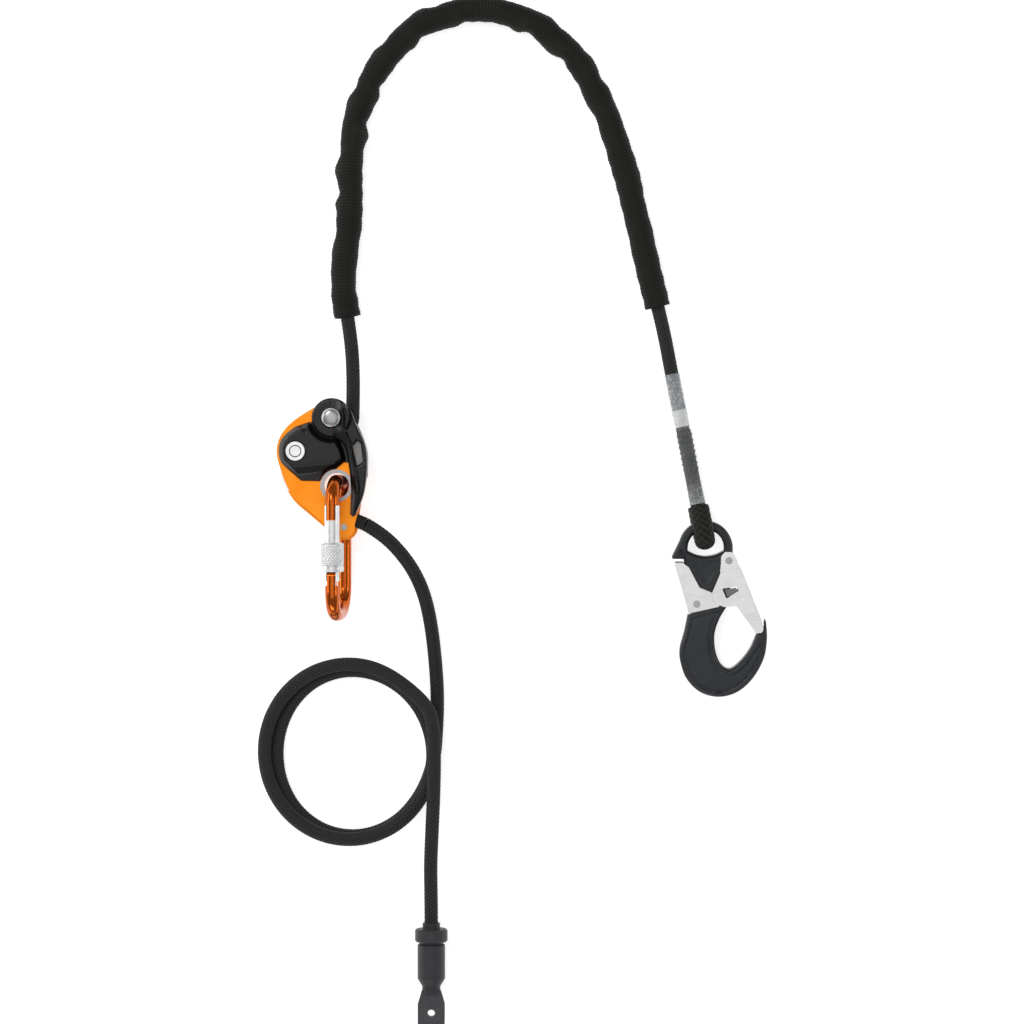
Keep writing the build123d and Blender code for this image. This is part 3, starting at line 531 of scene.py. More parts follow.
def braid(run, angle, strands, pitch):
    """Height of a two-over-two braid, from 0 in the gaps to 1 on the strands' backs."""
    across = strands * angle / (2 * np.pi)
    left = across + run / pitch
    right = across - run / pitch
    left_on_top = (np.floor(left) + np.floor(right)) % 4 < 2
    back = np.where(left_on_top, np.sin(np.pi * (left % 1)), np.sin(np.pi * (right % 1)))
    along_back = np.where(left_on_top, np.sin(np.pi * (right % 1)), np.sin(np.pi * (left % 1)))
    return np.sqrt(np.abs(back)) * (0.72 + 0.28 * along_back)


ROPE_STRANDS, ROPE_PITCH, ROPE_RELIEF = 12, 0.0030, 0.00068
ROPE_AROUND, ROPE_STEP, PATH_STEP = 60, 0.0006, 0.002


def rope_section(run, angle):
    height = braid(run, angle, ROPE_STRANDS, ROPE_PITCH)
    radius = ROPE_R - ROPE_RELIEF * (1 - height)
    # The braid's height goes out as lift, which the woven material turns into painted highlight on the
    # strands' backs and painted shade in the gaps.
    return radius, radius, height


def make_rope(name, route, body, materials):
    line = spline_line(name + "_line", route)
    points = evenly(line, ROPE_STEP)
    rope = swept(name, points, ROPE_AROUND, rope_section)
    dress(rope, materials["black_rope"], body, "black_rope")
    return rope, evenly(line, PATH_STEP)


# ---- what is on the rope -----------------------------------------------------------------

WEB_WIDE, WEB_TALL, WEB_RIB, WEB_RIB_PITCH = 0.0098, 0.0090, 0.00048, 0.0024
WEB_AROUND, WEB_WALL, WEB_STEP = 84, 0.0014, 0.0007


# The webbing's sharper folds: place along it, length, depth, and the side they are on.
WEB_KINKS = [
    (0.048, 0.008, 0.0008, 3.14), (0.085, 0.006, 0.0013, 3.14), (0.112, 0.007, 0.0014, 3.0),
    (0.139, 0.006, 0.0013, 0.2), (0.160, 0.007, 0.0010, 3.14), (0.171, 0.006, 0.0012, 0.0),
    (0.198, 0.008, 0.0008, 2.9), (0.224, 0.006, 0.0012, 0.0), (0.243, 0.006, 0.0010, 3.14),
    (0.262, 0.007, 0.0009, 0.0), (0.292, 0.009, 0.0008, 3.14), (0.318, 0.006, 0.0013, 0.0),
    (0.336, 0.006, 0.0010, 3.3), (0.352, 0.007, 0.0014, 0.0), (0.379, 0.007, 0.0009, 3.14),
    (0.404, 0.008, 0.0007, 0.0), (0.470, 0.012, 0.0006, 3.14),
]


def webbing_section(run, angle):
    """Ribbed tubular webbing: flattened, with wrinkles that deepen on its sides."""
    rib = 0.5 + 0.5 * np.cos(2 * np.pi * run / WEB_RIB_PITCH + 0.35 * np.sin(3 * angle))
    weave = 0.5 + 0.5 * np.cos(26 * angle)
    slow = np.sin(run * 145 + 1.3 * np.sin(run * 31)) * np.sin(run * 57 + 0.7)
    fold = np.sin(run * 410 + 2.2 * np.sin(run * 67) + 1.1 * np.cos(angle)) ** 3
    wrinkle = 0.00040 * slow * np.cos(2 * angle + run * 9) + 0.00030 * fold * np.abs(np.cos(angle))
    for at, length, depth, turn in WEB_KINKS:
        bend = (run - at - 0.004 * np.sin(angle)) / length
        facing = np.clip(np.cos(angle - turn), 0, 1)
        wrinkle = wrinkle + 1.3 * depth * facing * (np.exp(-bend ** 2) - np.exp(-(bend - 1.6) ** 2))
    hem = np.exp(-((run - 0.002) / 0.0022) ** 2)
    edge = wrinkle - WEB_RIB * (1 - rib) * (0.7 + 0.3 * weave) + 0.0004 * hem
    # lift, drawn by the woven material: painted highlight on the ribs and outward wrinkles, painted shade in
    # the rib grooves and inward wrinkles.
    lift = 0.08 + 0.85 * rib * (0.6 + 0.4 * weave) + 260 * wrinkle
    return WEB_WIDE + edge, np.full_like(edge, WEB_TALL) + np.minimum(edge, 0.0003), lift


def with_mouths(name, points, around, section, wall):
    """A sleeve: an outer skin, rolled in at both ends to an inner skin."""
    lip = np.array([0.35, 0.8, 1.0])
    inward = 4
    run = run_of(points)
    sides, ups = carried_frames(points)
    angle = np.linspace(0, 2 * np.pi, around, endpoint=False)
    wide, tall, lift = section(run[:, None], angle[None, :])
    rings = []
    lifts = []

    def ring(index, inset):
        w = (wide[index] - inset)[:, None]
        t = (tall[index] - inset)[:, None]
        rings.append(points[index] + np.cos(angle)[:, None] * w * sides[index]
                     + np.sin(angle)[:, None] * t * ups[index])
        # The lift falls on the rolled-in inner skin: painted shade inside the mouths.
        lifts.append(lift[index] * (1 - 0.6 * inset / wall))

    last = len(points) - 1
    for share in reversed(lip):
        ring(0 if share < 1 else inward, wall * share)
    for index in range(len(points)):
        ring(index, 0.0)
    for share in lip:
        ring(last if share < 1 else last - inward, wall * share)
    faces = ring_faces(len(rings), around)
    return surface(name, np.concatenate(rings), faces, np.concatenate(lifts))


def make_protector(line, materials):
    points = evenly(stretch_between(line, ARCH[0], ARCH[-1]), WEB_STEP)
    protector = with_mouths("webbing_sleeve", points, WEB_AROUND, webbing_section, WEB_WALL)
    dress(protector, materials["black_webbing"], "lanyard", "black_webbing", "webbing_protector")
    return protector, run_of(points)[-1]


GUARD_WIDE, GUARD_TALL, GUARD_WALL, GUARD_FROM = 0.0076, 0.0062, 0.0008, 0.0705
GUARD_STRANDS, GUARD_PITCH, GUARD_RELIEF, GUARD_AROUND = 8, 0.0042, 0.0005, 64


def guard_section(run, angle):
    height = braid(run, angle, GUARD_STRANDS, GUARD_PITCH)
    drop = GUARD_RELIEF * (1 - height)
    # The braid's height goes out as lift, which the woven material turns into painted highlight on the
    # strands' backs and painted shade in the gaps.
    return GUARD_WIDE - drop, GUARD_TALL - drop, height


def make_guard(line, materials):
    low = on_loop(GUARD_FROM, LOW_Z)
    turn = int(np.argmin(np.linalg.norm(line - np.array(on_loop(TURN_AT, 0.0175)), axis=1)))
    first = int(np.argmin(np.linalg.norm(line - np.array(low), axis=1)))
    points = evenly(line[first:2 * turn - first + 1], ROPE_STEP)
    guard = with_mouths("wear_sleeve", points, GUARD_AROUND, guard_section, GUARD_WALL)
    return dress(guard, materials["black_webbing"], "lanyard", "black_webbing", "loop_guard")


SHEATH_FROM, SHEATH_TO, SHEATH_STEP, SHEATH_AROUND = -0.0325, 0.0675, 0.0008, 72
SHEATH_R, MOUTH_TOP_Z = 0.0060, 0.0232


def make_sheath(line, materials):
    """One shrunk skin: round on the single strand, a tall slot round both, flared at its mouth."""
    stations = np.arange(SHEATH_FROM, SHEATH_TO + 0.0001, SHEATH_STEP)
    verts = []
    lifts = []
    for at in stations:
        index = int(np.argmin(np.abs((line - np.array(on_loop(at, LOW_Z))) @ np.array((*LOOP_DIR, 0)))
                              + (line[:, 2] > 0.012) * 1.0))
        centre = line[index]
        share = min(1.0, max(0.0, (at - 0.002) / 0.012))
        share = share * share * (3 - 2 * share)
        top = DOUBLE_Z + (MOUTH_TOP_Z - DOUBLE_Z) * max(0.0, (at - 0.036) / 0.0315) ** 1.1
        rise = (top - LOW_Z) * share
        side = np.array((-LOOP_DIR[1], LOOP_DIR[0], 0))
        for angle in 2 * math.pi * np.arange(SHEATH_AROUND) / SHEATH_AROUND:
            crumple = 0.00016 * math.sin(7 * angle + at * 900) * math.sin(at * 520 + 3 * angle)
            radius = SHEATH_R + crumple
            up = radius * math.sin(angle) + (rise if math.sin(angle) > 0 else 0.0)
            waist = 1.0 - 0.10 * share * math.exp(-((up - rise / 2) / 0.0032) ** 2)
            verts.append(centre * (1, 1, 0) + side * radius * math.cos(angle) * waist
                         + np.array((0, 0, LOW_Z + up)))
            near_mouth = max(0.0, (at - 0.049) / 0.0185)
            lifts.append(0.70 * (1 - share) + 0.14 + 0.55 * min(1.0, near_mouth))
    faces = ring_faces(len(stations), SHEATH_AROUND)
    sheath = surface("shrink_sleeve", np.array(verts), faces, np.array(lifts))
    return dress(sheath, materials["clear_shrink"], "lanyard", "clear_shrink", "sheath_neck", "clear_sheath")


# ---- sculpted mouldings ----------------------------------------------------------------------

def through(points, per_span=8):
    """A smooth line through a few points."""
    spots = [np.array(p, float) for p in points]
    spots = [2 * spots[0] - spots[1]] + spots + [2 * spots[-1] - spots[-2]]
    line = []
    for i in range(1, len(spots) - 2):
        a, b, c, d = spots[i - 1:i + 3]
        for t in np.linspace(0, 1, per_span, endpoint=False):
            line.append(0.5 * (2 * b + (c - a) * t + (2 * a - 5 * b + 4 * c - d) * t ** 2
                               + (3 * b - a - 3 * c + d) * t ** 3))
    line.append(spots[-2])
    return np.array(line)


def arc(centre, radius, start, end, count=24):
    turns = np.radians(np.linspace(start, end, count))
    return np.stack([centre[0] + radius * np.cos(turns), centre[1] + radius * np.sin(turns)], axis=1)


def closed_line(parts, spacing):
    """One closed outline from several lines, with points no further apart than spacing."""
    line = np.concatenate(parts + [parts[0][:1]])
    keep = np.concatenate([[True], np.linalg.norm(np.diff(line, axis=0), axis=1) > 0.05])
    line = line[keep]
    result = []
    for a, b in zip(line[:-1], line[1:]):
        steps = max(1, int(math.ceil(np.linalg.norm(b - a) / spacing)))
        result += [a + (b - a) * i / steps for i in range(steps)]
    return np.array(result)


def distance_to(places, line):
    """Shortest distance from each place to a closed line."""
    best = np.full(len(places), np.inf)
    for a, b in zip(line, np.roll(line, -1, axis=0)):
        edge = b - a
        share = np.clip(((places - a) @ edge) / max(edge @ edge, 1e-12), 0, 1)
        best = np.minimum(best, np.linalg.norm(places - (a + share[:, None] * edge), axis=1))
    return best


def side_of(places, line):
    """Distance from an open line, positive on its right-hand side."""
    best = np.full(len(places), np.inf)
    signed = np.zeros(len(places))
    for a, b in zip(line[:-1], line[1:]):
        edge = b - a
        share = np.clip(((places - a) @ edge) / (edge @ edge), 0, 1)
        gap = places - (a + share[:, None] * edge)
        far = np.linalg.norm(gap, axis=1)
        cross = gap[:, 0] * edge[1] - gap[:, 1] * edge[0]
        closer = far < best
        best[closer] = far[closer]
        signed[closer] = np.where(cross[closer] >= 0, far[closer], -far[closer])
    return signed


def inside(places, line):
    x, y = places[:, 0], places[:, 1]
    found = np.zeros(len(places), bool)
    for a, b in zip(line, np.roll(line, -1, axis=0)):
        crosses = (a[1] > y) != (b[1] > y)
        with np.errstate(divide="ignore", invalid="ignore"):
            at = (b[0] - a[0]) * (y - a[1]) / (b[1] - a[1]) + a[0]
        found ^= crosses & (x < at)
    return found


def within(places, outline, holes):
    """Which places lie inside the outline and outside its holes."""
    keep = inside(places, outline)
    for hole in holes:
        keep &= ~inside(places, hole)
    return keep


def from_loops(places, loops):
    return np.min([distance_to(places, loop) for loop in loops], axis=0)


def edge_rings(outline, holes, offsets):
    """Points at set distances in from the outline and the holes, for a smooth rounded edge."""
    loops = [outline, *holes]
    rings = []
    for loop in loops:
        ahead = np.roll(loop, -1, axis=0) - np.roll(loop, 1, axis=0)
        normal = np.stack([-ahead[:, 1], ahead[:, 0]], axis=1)
        normal /= np.linalg.norm(normal, axis=1)[:, None]
        rings += [loop + sign * offset * normal for offset in offsets for sign in (-1, 1)]
    places = np.concatenate(rings)
    places = places[within(places, outline, holes)]
    gap = from_loops(places, loops)[:, None]
    return places[np.min(np.abs(gap - np.array(offsets)[None, :]), axis=1) < RING_SLACK]


def filling(outline, holes, spacing, clear_of_edge):
    """A staggered grid of points inside the outline."""
    low, high = outline.min(0), outline.max(0)
    rows = np.arange(low[1], high[1], spacing * ROW_SPACING)
    places = np.array([(x + (i % 2) * spacing / 2, y) for i, y in enumerate(rows)
                       for x in np.arange(low[0], high[0], spacing)])
    places = places[within(places, outline, holes)]
    return places[from_loops(places, [outline, *holes]) > clear_of_edge]


def triangulate(outline, holes, places):
    """Triangles over the outline, all the same way up, and the points they use."""
    loops = [outline, *holes]
    edges = []
    start = 0
    for loop in loops:
        edges += [(start + i, start + (i + 1) % len(loop)) for i in range(len(loop))]
        start += len(loop)
    spots = np.concatenate([*loops, places])
    made = delaunay_2d_cdt([Vector(p) for p in spots], edges, [], 0, 1e-4)
    flat = np.array([tuple(v) for v in made[0]])
    triangles = np.array([f for f in made[2]])
    triangles = triangles[within(flat[triangles].mean(axis=1), outline, holes)]
    a, b, c = (flat[triangles[:, i]] for i in range(3))
    clockwise = (b - a)[:, 0] * (c - a)[:, 1] - (b - a)[:, 1] * (c - a)[:, 0] < 0
    triangles[clockwise] = triangles[clockwise][:, ::-1]
    return flat, triangles


RING_SLACK, ROW_SPACING, EDGE_ANGLE = 0.04, 0.87, math.radians(38)
EDGE_RINGS = (0.15, 0.45, 0.9, 1.5)


def relief(name, outline, floor, height, spacing, holes=(), place=None, rings=EDGE_RINGS):
    """A closed moulding: a sculpted top over an outline, upright walls and a flat floor, in mm."""
    edge = edge_rings(outline, holes, rings)
    fill = filling(outline, holes, spacing, rings[-1] + spacing * 0.4)
    flat, triangles = triangulate(outline, holes, np.concatenate([edge, fill]))
    top = height(flat, from_loops(flat, [outline, *holes]))
    count = len(flat)
    verts = np.concatenate([np.column_stack([flat, top]), np.column_stack([flat, np.full(count, floor)])])
    faces = [tuple(t) for t in triangles] + [tuple(t[::-1] + count) for t in triangles]
    sides = {(int(t[i]), int(t[(i + 1) % 3])): True for t in triangles for i in range(3)}
    faces += [(j, i, i + count, j + count) for i, j in sides if (j, i) not in sides]
    verts = place(verts) if place else verts + np.array([GRAB[0] / MM, GRAB[1] / MM, 0])
    piece = surface(name, verts * MM, faces)
    used = set(i for f in faces for i in f)
    if len(used) < len(piece.data.vertices):
        drop_loose(piece, used)
    piece.data.set_sharp_from_angle(angle=EDGE_ANGLE)
    return piece


def drop_loose(piece, used):
    """Leave out the points that no face uses."""
    order = {old: new for new, old in enumerate(sorted(used))}
    verts = [piece.data.vertices[i].co[:] for i in sorted(used)]
    faces = [tuple(order[i] for i in f.vertices) for f in piece.data.polygons]
    piece.data.clear_geometry()
    piece.data.from_pydata(verts, [], faces)
    piece.data.polygons.foreach_set("use_smooth", [True] * len(piece.data.polygons))
    piece.data.update()


def rounded_edge(gap, radius):
    """How far the top drops near its outline, for an edge of this radius."""
    near = np.clip(radius - gap, 0, radius)
    return radius - np.sqrt(radius ** 2 - near ** 2)


def level_top(height):
    return lambda places, gap: np.full(len(places), height)


def smooth_step(value, low, high):
    share = np.clip((value - low) / (high - low), 0, 1)
    return share * share * (3 - 2 * share)


LEVER_AXLE = np.array([-3.6, 50.8])
CAM_AXLE = np.array([-30.5, 25.8])
LEVER_BOSS_R = 15.0
LEVER_LOW, FACE_Z, LIP_Z, COVER_Z = 29.4, 28.5, 29.1, 36.5
BOSS_TOP, BOSS_LOW, BOSS_WELL, FLANK_LOW = 40.0, 36.5, 37.2, 33.0
GROOVE_DEPTH, GROOVE_WIDE, ARM_EDGE_R = 1.15, 0.62, 2.2
WALL_LOW, WALL_TOP, REAR_LOW, REAR_TOP = 20.0, 30.6, 4.5, 11.7
MOULD_STEP = 0.75
GROOVE = through([(6.4, 63.0), (5.9, 52.0), (6.4, 42.5), (10.2, 33.4), (14.0, 19.0), (16.4, 2.0),
                  (16.6, -10.0), (13.6, -21.0)])
WINDOW = [(12.4, 29.4), (16.2, 33.6), (18.6, 31.4), (20.2, 18.0), (15.6, 14.6)]


def lever_outline():
    return closed_line([
        arc(LEVER_AXLE, LEVER_BOSS_R, 276, 49, 60),
        through([(6.24, 62.1), (11.0, 56.6), (15.8, 44.6), (21.6, 31.4), (23.4, 18.5), (22.6, 4.0),
                 (20.2, -8.4), (14.9, -21.4)]),
        through([(14.9, -21.4), (12.6, -23.3), (10.5, -21.2)], 5),
        through([(10.5, -21.2), (10.9, 0.5), (9.0, 17.6), (6.0, 30.0), (-2.03, 35.88)]),
    ], 0.8)


def lever_top(places, gap):
    """A raised boss round the axle, a flat front strip, a groove and a flank that falls away."""
    out = side_of(places, GROOVE)
    along = np.clip((40 - places[:, 1]) / 60, 0, 1)
    strip = 39.0 - 0.9 * along
    flank = np.maximum(39.3 - 0.9 * along - 0.30 * np.clip(out, 0, 20) ** 1.35, FLANK_LOW)
    arm = np.where(out > 0, flank, strip) - GROOVE_DEPTH * np.exp(-((out + 0.1) / GROOVE_WIDE) ** 2)
    from_axle = np.linalg.norm(places - LEVER_AXLE, axis=1)
    boss = BOSS_TOP - 2.6 * smooth_step(from_axle, 12.4, 14.9) ** 1.2
    boss = boss - 0.35 * np.exp(-((from_axle - 8.9) / 0.5) ** 2)
    on_boss = (1 - smooth_step(out, -1.6, 0.4)) * (1 - smooth_step(from_axle, 14.6, 15.6))
    top = arm * (1 - on_boss) + np.maximum(boss, BOSS_LOW) * on_boss
    well = smooth_step(from_axle, 7.0, 7.5)
    top = BOSS_WELL * (1 - well) + top * well
    return np.maximum(top - rounded_edge(gap, ARM_EDGE_R), LEVER_LOW + 1.2)


def make_lever(materials):
    window = closed_line([np.array(WINDOW + [WINDOW[0]], float)], 0.8)[:-1]
    arm = relief("release_lever_arm", lever_outline(), LEVER_LOW, lever_top, MOULD_STEP, holes=[window])
    wall = closed_line([through([(19.0, 35.5), (22.2, 26.0), (22.9, 18.5), (22.2, 4.0), (20.0, -7.4)]),
                        through([(18.7, -8.2), (19.3, 4.0), (19.2, 12.0), (17.2, 31.0)])], 0.8)
    side = relief("release_lever_wall", wall, WALL_LOW, level_top(WALL_TOP), 0.9, rings=(0.3,))
    deep_line = np.array([(19.35, 35.0), (22.2, 26.0), (22.9, 18.5), (22.3, 6.0), (19.3, 6.0),
                          (19.1, 14.0), (17.2, 31.0), (17.4, 35.0), (19.35, 35.0)])
    deep = relief("release_lever_back_wall", closed_line([deep_line], 0.8), REAR_LOW,
                  level_top(WALL_LOW + 0.4), 0.9, rings=(0.3,))
    rear_line = closed_line([arc(LEVER_AXLE, 12.5, 268, 62, 40),
                             through([(8.5, 57.0), (16.5, 43.0), (22.3, 26.0), (22.6, 7.0)], 6),
                             through([(19.2, 6.0), (17.2, 16.0), (11.0, 30.0), (2.8, 38.6)], 6)], 0.8)
    rear = relief("release_lever_rear_leaf", rear_line, REAR_LOW,
                  lambda places, gap: REAR_TOP - rounded_edge(gap, 0.9), 0.9)
    for piece in (arm, side, deep, rear):
        dress(piece, materials["black_moulding"], "release_lever", "black_moulding")
    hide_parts("release_lever")


def cover_outline():
    cut = arc(LEVER_AXLE, LEVER_BOSS_R + 0.5, 283, 204, 30)
    eye = arc((0, 0), 12.4, 92, 158, 14)
    return closed_line([
        np.array([(-20.2, 48.0), (-31.2, 44.2), (-37.6, 39.2), (-41.6, 34.4)]),
        through([(-41.6, 34.4), (-43.2, 29.0), (-43.0, 22.0), (-41.2, 16.9)], 5),
        np.array([(-41.2, 16.9), (-35.1, 11.1), (-26.4, 3.6)]), np.array([(-26.4, 3.6), (-12.6, 3.2)]),
        eye[::-1], np.array([(1.7, 14.2), (6.6, 18.2), (7.0, 20.4)]),
        through([(7.0, 20.4), (5.0, 28.0), (2.6, 33.0)], 5), cut,
    ], 0.8)


def cover_top(places, gap):
    """A flat plateau with bevelled borders that steps down in two facets towards the eye."""
    x, y = places[:, 0], places[:, 1]
    ridge = np.interp(x, [-40, -32.5, -14.8, 3.1, 8], [15.5, 14.6, 16.4, 17.6, 18.6])
    fold = np.interp(x, [-40, -23.0, -4.1, 8], [8.0, 9.1, 11.6, 12.6])
    slope = COVER_Z - 0.30 * np.clip(ridge - y, 0, 30) - 0.55 * np.clip(fold - y, 0, 30)
    border = 31.0 + 1.5 * gap
    rounded = np.minimum(slope, border)
    crease = 0.28 * np.exp(-((ridge - y) / 0.7) ** 2)
    from_cam = np.linalg.norm(places - CAM_AXLE, axis=1)
    seat = smooth_step(from_cam, 8.4, 9.6)
    top = np.maximum(COVER_Z * (1 - seat) + (rounded - crease) * seat, 29.2)
    well = smooth_step(from_cam, 7.25, 7.7)
    top = 35.4 * (1 - well) + top * well
    notch = np.exp(-((x + 23.5 + 0.9 * (y - 41)) / 1.1) ** 2) * smooth_step(y, 38.5, 43)
    return top - 1.6 * notch - rounded_edge(gap, 0.7)


def make_cover(materials):
    cover = relief("moulded_cover", cover_outline(), FACE_Z + 0.05, cover_top, MOULD_STEP)
    # A thin black sheet under the lever boss: partly the cover running on under the boss, and partly painted
    # shadow, filling the slit round the boss's rim with black where the boss's ring shadow falls.
    under_boss = closed_line([arc(LEVER_AXLE, 12.0, 190, 292, 30), arc(LEVER_AXLE, 16.1, 292, 190, 30)], 0.8)
    under_arm = closed_line([np.array([(5.6, 17.4), (11.5, 17.0), (9.4, 30.4), (2.0, 36.0), (0.6, 33.0),
                                       (3.0, 31.0), (5.6, 17.4)])], 0.8)
    for name, outline in (("cover_rim_and_boss_shadow", under_boss), ("cover_lip", under_arm)):
        lip = relief(name, outline, FACE_Z + 0.05, level_top(LIP_Z), 0.9, rings=(0.3,))
        dress(lip, materials["black_moulding"], "lanyard", "black_moulding")
    dress(cover, materials["black_moulding"], "lanyard", "black_moulding", "front_cover")


# ---- the hook's forged body and the turned heads -----------------------------------------------

HOOK_AT, HOOK_TILT = np.array([138.2, -0.4, 15.8]), math.radians(5.6)
HOOK_HALF, EYE_OUTER, EYE_INNER = 4.5, 20.3, 13.7
HOOK_BACK = [(-13.4, -51.0), (-15.8, -63.3), (-19.1, -76.2), (-18.7, -86.6), (-14.1, -99.4),
             (-3.6, -109.7), (10.4, -113.3), (24.3, -109.7), (35.9, -99.4), (44.2, -84.3),
             (46.6, -69.5), (46.0, -56.5)]
HOOK_MOUTH = [(38.8, -65.6), (33.7, -77.3), (25.6, -87.6), (18.5, -92.2), (12.0, -88.4),
              (7.8, -78.5), (6.9, -65.6), (10.4, -54.0), (16.2, -44.1)]
HOOK_PANEL = [(-9.6, -54.0), (-12.0, -64.0), (-15.4, -77.0), (-14.6, -87.0), (-10.8, -97.2),
              (-1.6, -106.0), (10.4, -109.4), (22.2, -106.2), (32.6, -97.0), (40.2, -83.0),
              (42.2, -72.6)]
HOOK_PANEL_IN = [(42.2, -72.6), (36.6, -81.0), (28.6, -92.0), (18.6, -97.0), (8.0, -92.0),
                 (3.6, -80.0), (2.8, -66.0), (6.6, -53.0), (9.6, -48.6)]
SHIELD = [(-10.6, -8.6), (0, -9.8), (10.6, -8.6), (7.6, -18.0), (0.0, -28.0), (-6.6, -19.0)]
ARROW = [(-18.6, 0.2), (-20.6, -5.2), (-15.0, -5.8)]
OUTER_SHEET = 6.1
GATE_TAB = np.array([(14.2, -31.0), (22.6, -29.6), (23.9, -31.8), (16.2, -36.6)])


def in_hook(verts):
    """From the hook's own flat frame, in mm, to the shared one."""
    x, y, z = verts.T
    level = np.stack([x, y * math.cos(HOOK_TILT) - z * math.sin(HOOK_TILT),
                      y * math.sin(HOOK_TILT) + z * math.cos(HOOK_TILT)], axis=1)
    return level + HOOK_AT


def recess(places, outline, depth, slope):
    return depth * smooth_step(distance_to(places, outline), 0.0, slope) * inside(places, outline)


def hook_top(places, gap):
    panel = np.concatenate([through(HOOK_PANEL), through(HOOK_PANEL_IN)])
    shield = closed_line([np.array(SHIELD + SHIELD[:1], float)], 2.0)
    arrow = np.array(ARROW, float)
    groove = np.exp(-(distance_to(places, panel) / 0.55) ** 2)
    top = HOOK_HALF - 0.75 * np.clip(1.9 - gap, 0, 1.9) - 0.35 * np.clip(0.7 - gap, 0, 0.7)
    return top - recess(places, panel, 0.35, 0.9) - 0.9 * groove - recess(places, shield, 0.9, 1.0) \
        - recess(places, arrow, 0.9, 0.7)


def make_hook_body(materials):
    outline = closed_line([
        arc((0, 0), EYE_OUTER, 0, 164.9, 60),
        np.array([(-25.6, -7.0), (-25.0, -8.2), (-16.6, -8.2), (-14.3, -28.0), (-10.8, -43.0),
                  (-10.8, -50.4)]),
        through(HOOK_BACK), np.array([(45.2, -54.2), (44.3, -56.3), (44.5, -60.0), (42.4, -63.4)]),
        through(HOOK_MOUTH), np.array([(17.8, -37.0), (EYE_OUTER, -14.0)]),
    ], 1.2)
    eye = closed_line([arc((0, 0), EYE_INNER, -10, 190, 50),
                       through([(-13.49, -2.38), (-7.0, -5.32), (0, -6.4), (7.0, -5.32),
                                (13.49, -2.38)])], 1.2)
    body = relief("forged_hook", outline, -HOOK_HALF, hook_top, 1.1, holes=[eye], place=in_hook,
                  rings=(0.35, 0.7, 1.3, 1.9))
    dress(body, materials["grey_forging"], "hook", "grey_forging", "hook_body")
    tab = relief("gate_tab", closed_line([GATE_TAB], 1.0), OUTER_SHEET,
                 lambda p, g: OUTER_SHEET + 0.15 + 0.11 * (p[:, 0] - GATE_TAB[:, 0].min()), 1.0,
                 place=in_hook, rings=(0.3,))
    dress(tab, materials["dull_steel"], "hook_gate", "sheet_steel")


TURNED_ANGLE = math.radians(50)


def turned(name, centre, profile, slot, material, around=72):
    """A solid of revolution about a vertical axis; profile is (radius, height) pairs in metres."""
    turns = 2 * np.pi * np.arange(around) / around
    verts = [(centre[0] + r * math.cos(t), centre[1] + r * math.sin(t), z)
             for r, z in profile for t in turns]
    faces = ring_faces(len(profile), around) + end_faces(len(profile), around)
    piece = surface(name, np.array(verts), faces)
    piece.data.set_sharp_from_angle(angle=TURNED_ANGLE)
    dress(piece, material, "lanyard", slot)


def make_heads(materials):
    """The lever axle's domed head, and a dark steel band on the cam axle's face, painted shade for the fine
    ring turned into it.
    """
    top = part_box("lever_axle")[1].z - 0.0003
    at = (GRAB[0] + LEVER_AXLE[0] * MM, GRAB[1] + LEVER_AXLE[1] * MM)
    dome = [(0.0062 * math.cos(t), top + 0.0016 * math.sin(t)) for t in np.linspace(0, 1.5, 14)]
    turned("axle_dome", at, dome, SLOTS["lever_axle"], materials["grey_steel"])
    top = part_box("cam_axle")[1].z
    at = (GRAB[0] + CAM_AXLE[0] * MM, GRAB[1] + CAM_AXLE[1] * MM)
    # A dark band in place of the turned groove: painted shade.
    ring = [(0.0047, top - 0.0002), (0.0047, top + 0.0002), (0.0043, top + 0.0002), (0.0043, top - 0.0002)]
    turned("cam_axle_groove_shade", at, ring, SLOTS["cam_axle"], materials["dull_steel"])


# ---- the knurled sleeve on the carabiner's gate -----------------------------------------------

SLEEVE_LENGTH, SLEEVE_R, BARREL_R = 0.0217, 0.00875, 0.00566
KNURLS, KNURL_PITCH, KNURL_DEPTH = 24, 0.0023, 0.0005


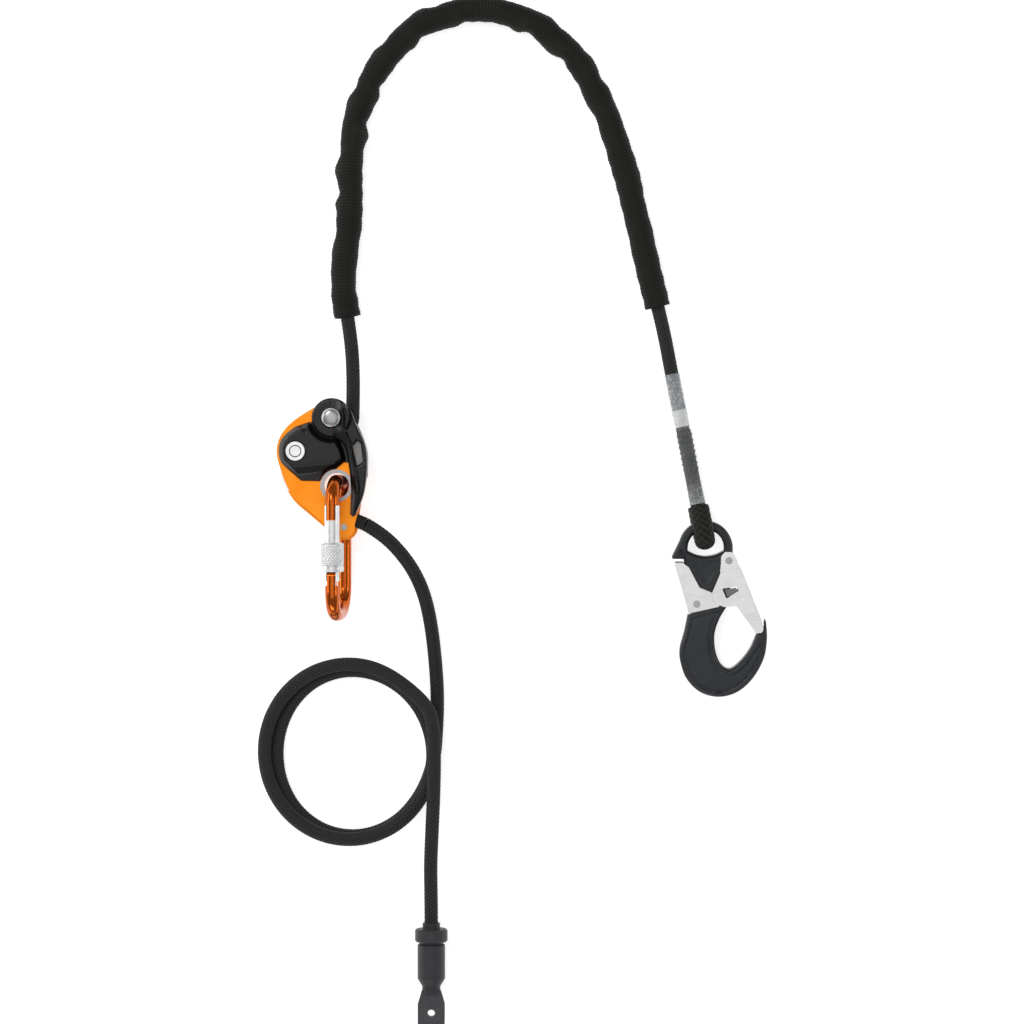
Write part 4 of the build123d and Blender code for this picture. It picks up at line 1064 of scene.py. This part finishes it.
def make_screw_sleeve(materials):
    low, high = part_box("screw_sleeve")
    centre = (low + high) / 2
    around = 240
    stations = np.linspace(0, SLEEVE_LENGTH, 90)
    profile = [(0, BARREL_R), (0, SLEEVE_R - 0.0009)]
    profile += [(at, None) for at in stations]
    profile += [(SLEEVE_LENGTH, SLEEVE_R - 0.0009), (SLEEVE_LENGTH, BARREL_R)]
    verts = []
    for at, fixed in profile:
        for j in range(around):
            angle = 2 * math.pi * j / around
            radius = fixed
            if fixed is None:
                ends = min(at, SLEEVE_LENGTH - at)
                radius = SLEEVE_R - max(0.0, 0.0009 - ends)
                band = 1.0 if 0.0050 < at < SLEEVE_LENGTH - 0.0012 else 0.0
                first = abs(math.sin(KNURLS / 2 * angle + math.pi * at / KNURL_PITCH))
                second = abs(math.sin(KNURLS / 2 * angle - math.pi * at / KNURL_PITCH))
                radius -= band * KNURL_DEPTH * (1 - min(first, second) ** 0.7)
                radius -= 0.0004 if 0.0042 < at < 0.0050 else 0.0
            verts.append((centre.x + radius * math.cos(angle), low.y + at,
                          centre.z + radius * math.sin(angle)))
    rings = len(profile)
    faces = []
    for i in range(rings):
        for j in range(around):
            k = (j + 1) % around
            n = (i + 1) % rings
            faces.append((i * around + k, i * around + j, n * around + j, n * around + k))
    sleeve = surface("knurled_sleeve", np.array(verts), faces)
    sleeve.data.set_sharp_from_angle(angle=TURNED_ANGLE)
    dress(sleeve, materials["satin_aluminium"], "screw_sleeve", "satin_aluminium", "screw_sleeve")


# ---- build it ----------------------------------------------------------------------------

add_camera()
add_studio()
add_table()
MATERIALS = make_materials()
paint_nodes(MATERIALS)

main_rope, main_line = make_rope("rope_over_arch", MAIN_ROUTE, "lanyard", MATERIALS)
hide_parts("rope_upper", "rope_in_grab")
tail_rope, tail_line = make_rope("rope_with_loop", LOWER + coil_route() + OVER_COIL + TAIL, "lanyard",
                                 MATERIALS)
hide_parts("rope_lower", "rope_loop_coil", "rope_tail", "rope_end_core")
sleeve, sleeve_length = make_protector(main_line, MATERIALS)
guard = make_guard(main_line, MATERIALS)
sheath = make_sheath(main_line, MATERIALS)
make_lever(MATERIALS)
make_cover(MATERIALS)
make_hook_body(MATERIALS)
make_heads(MATERIALS)
make_screw_sleeve(MATERIALS)
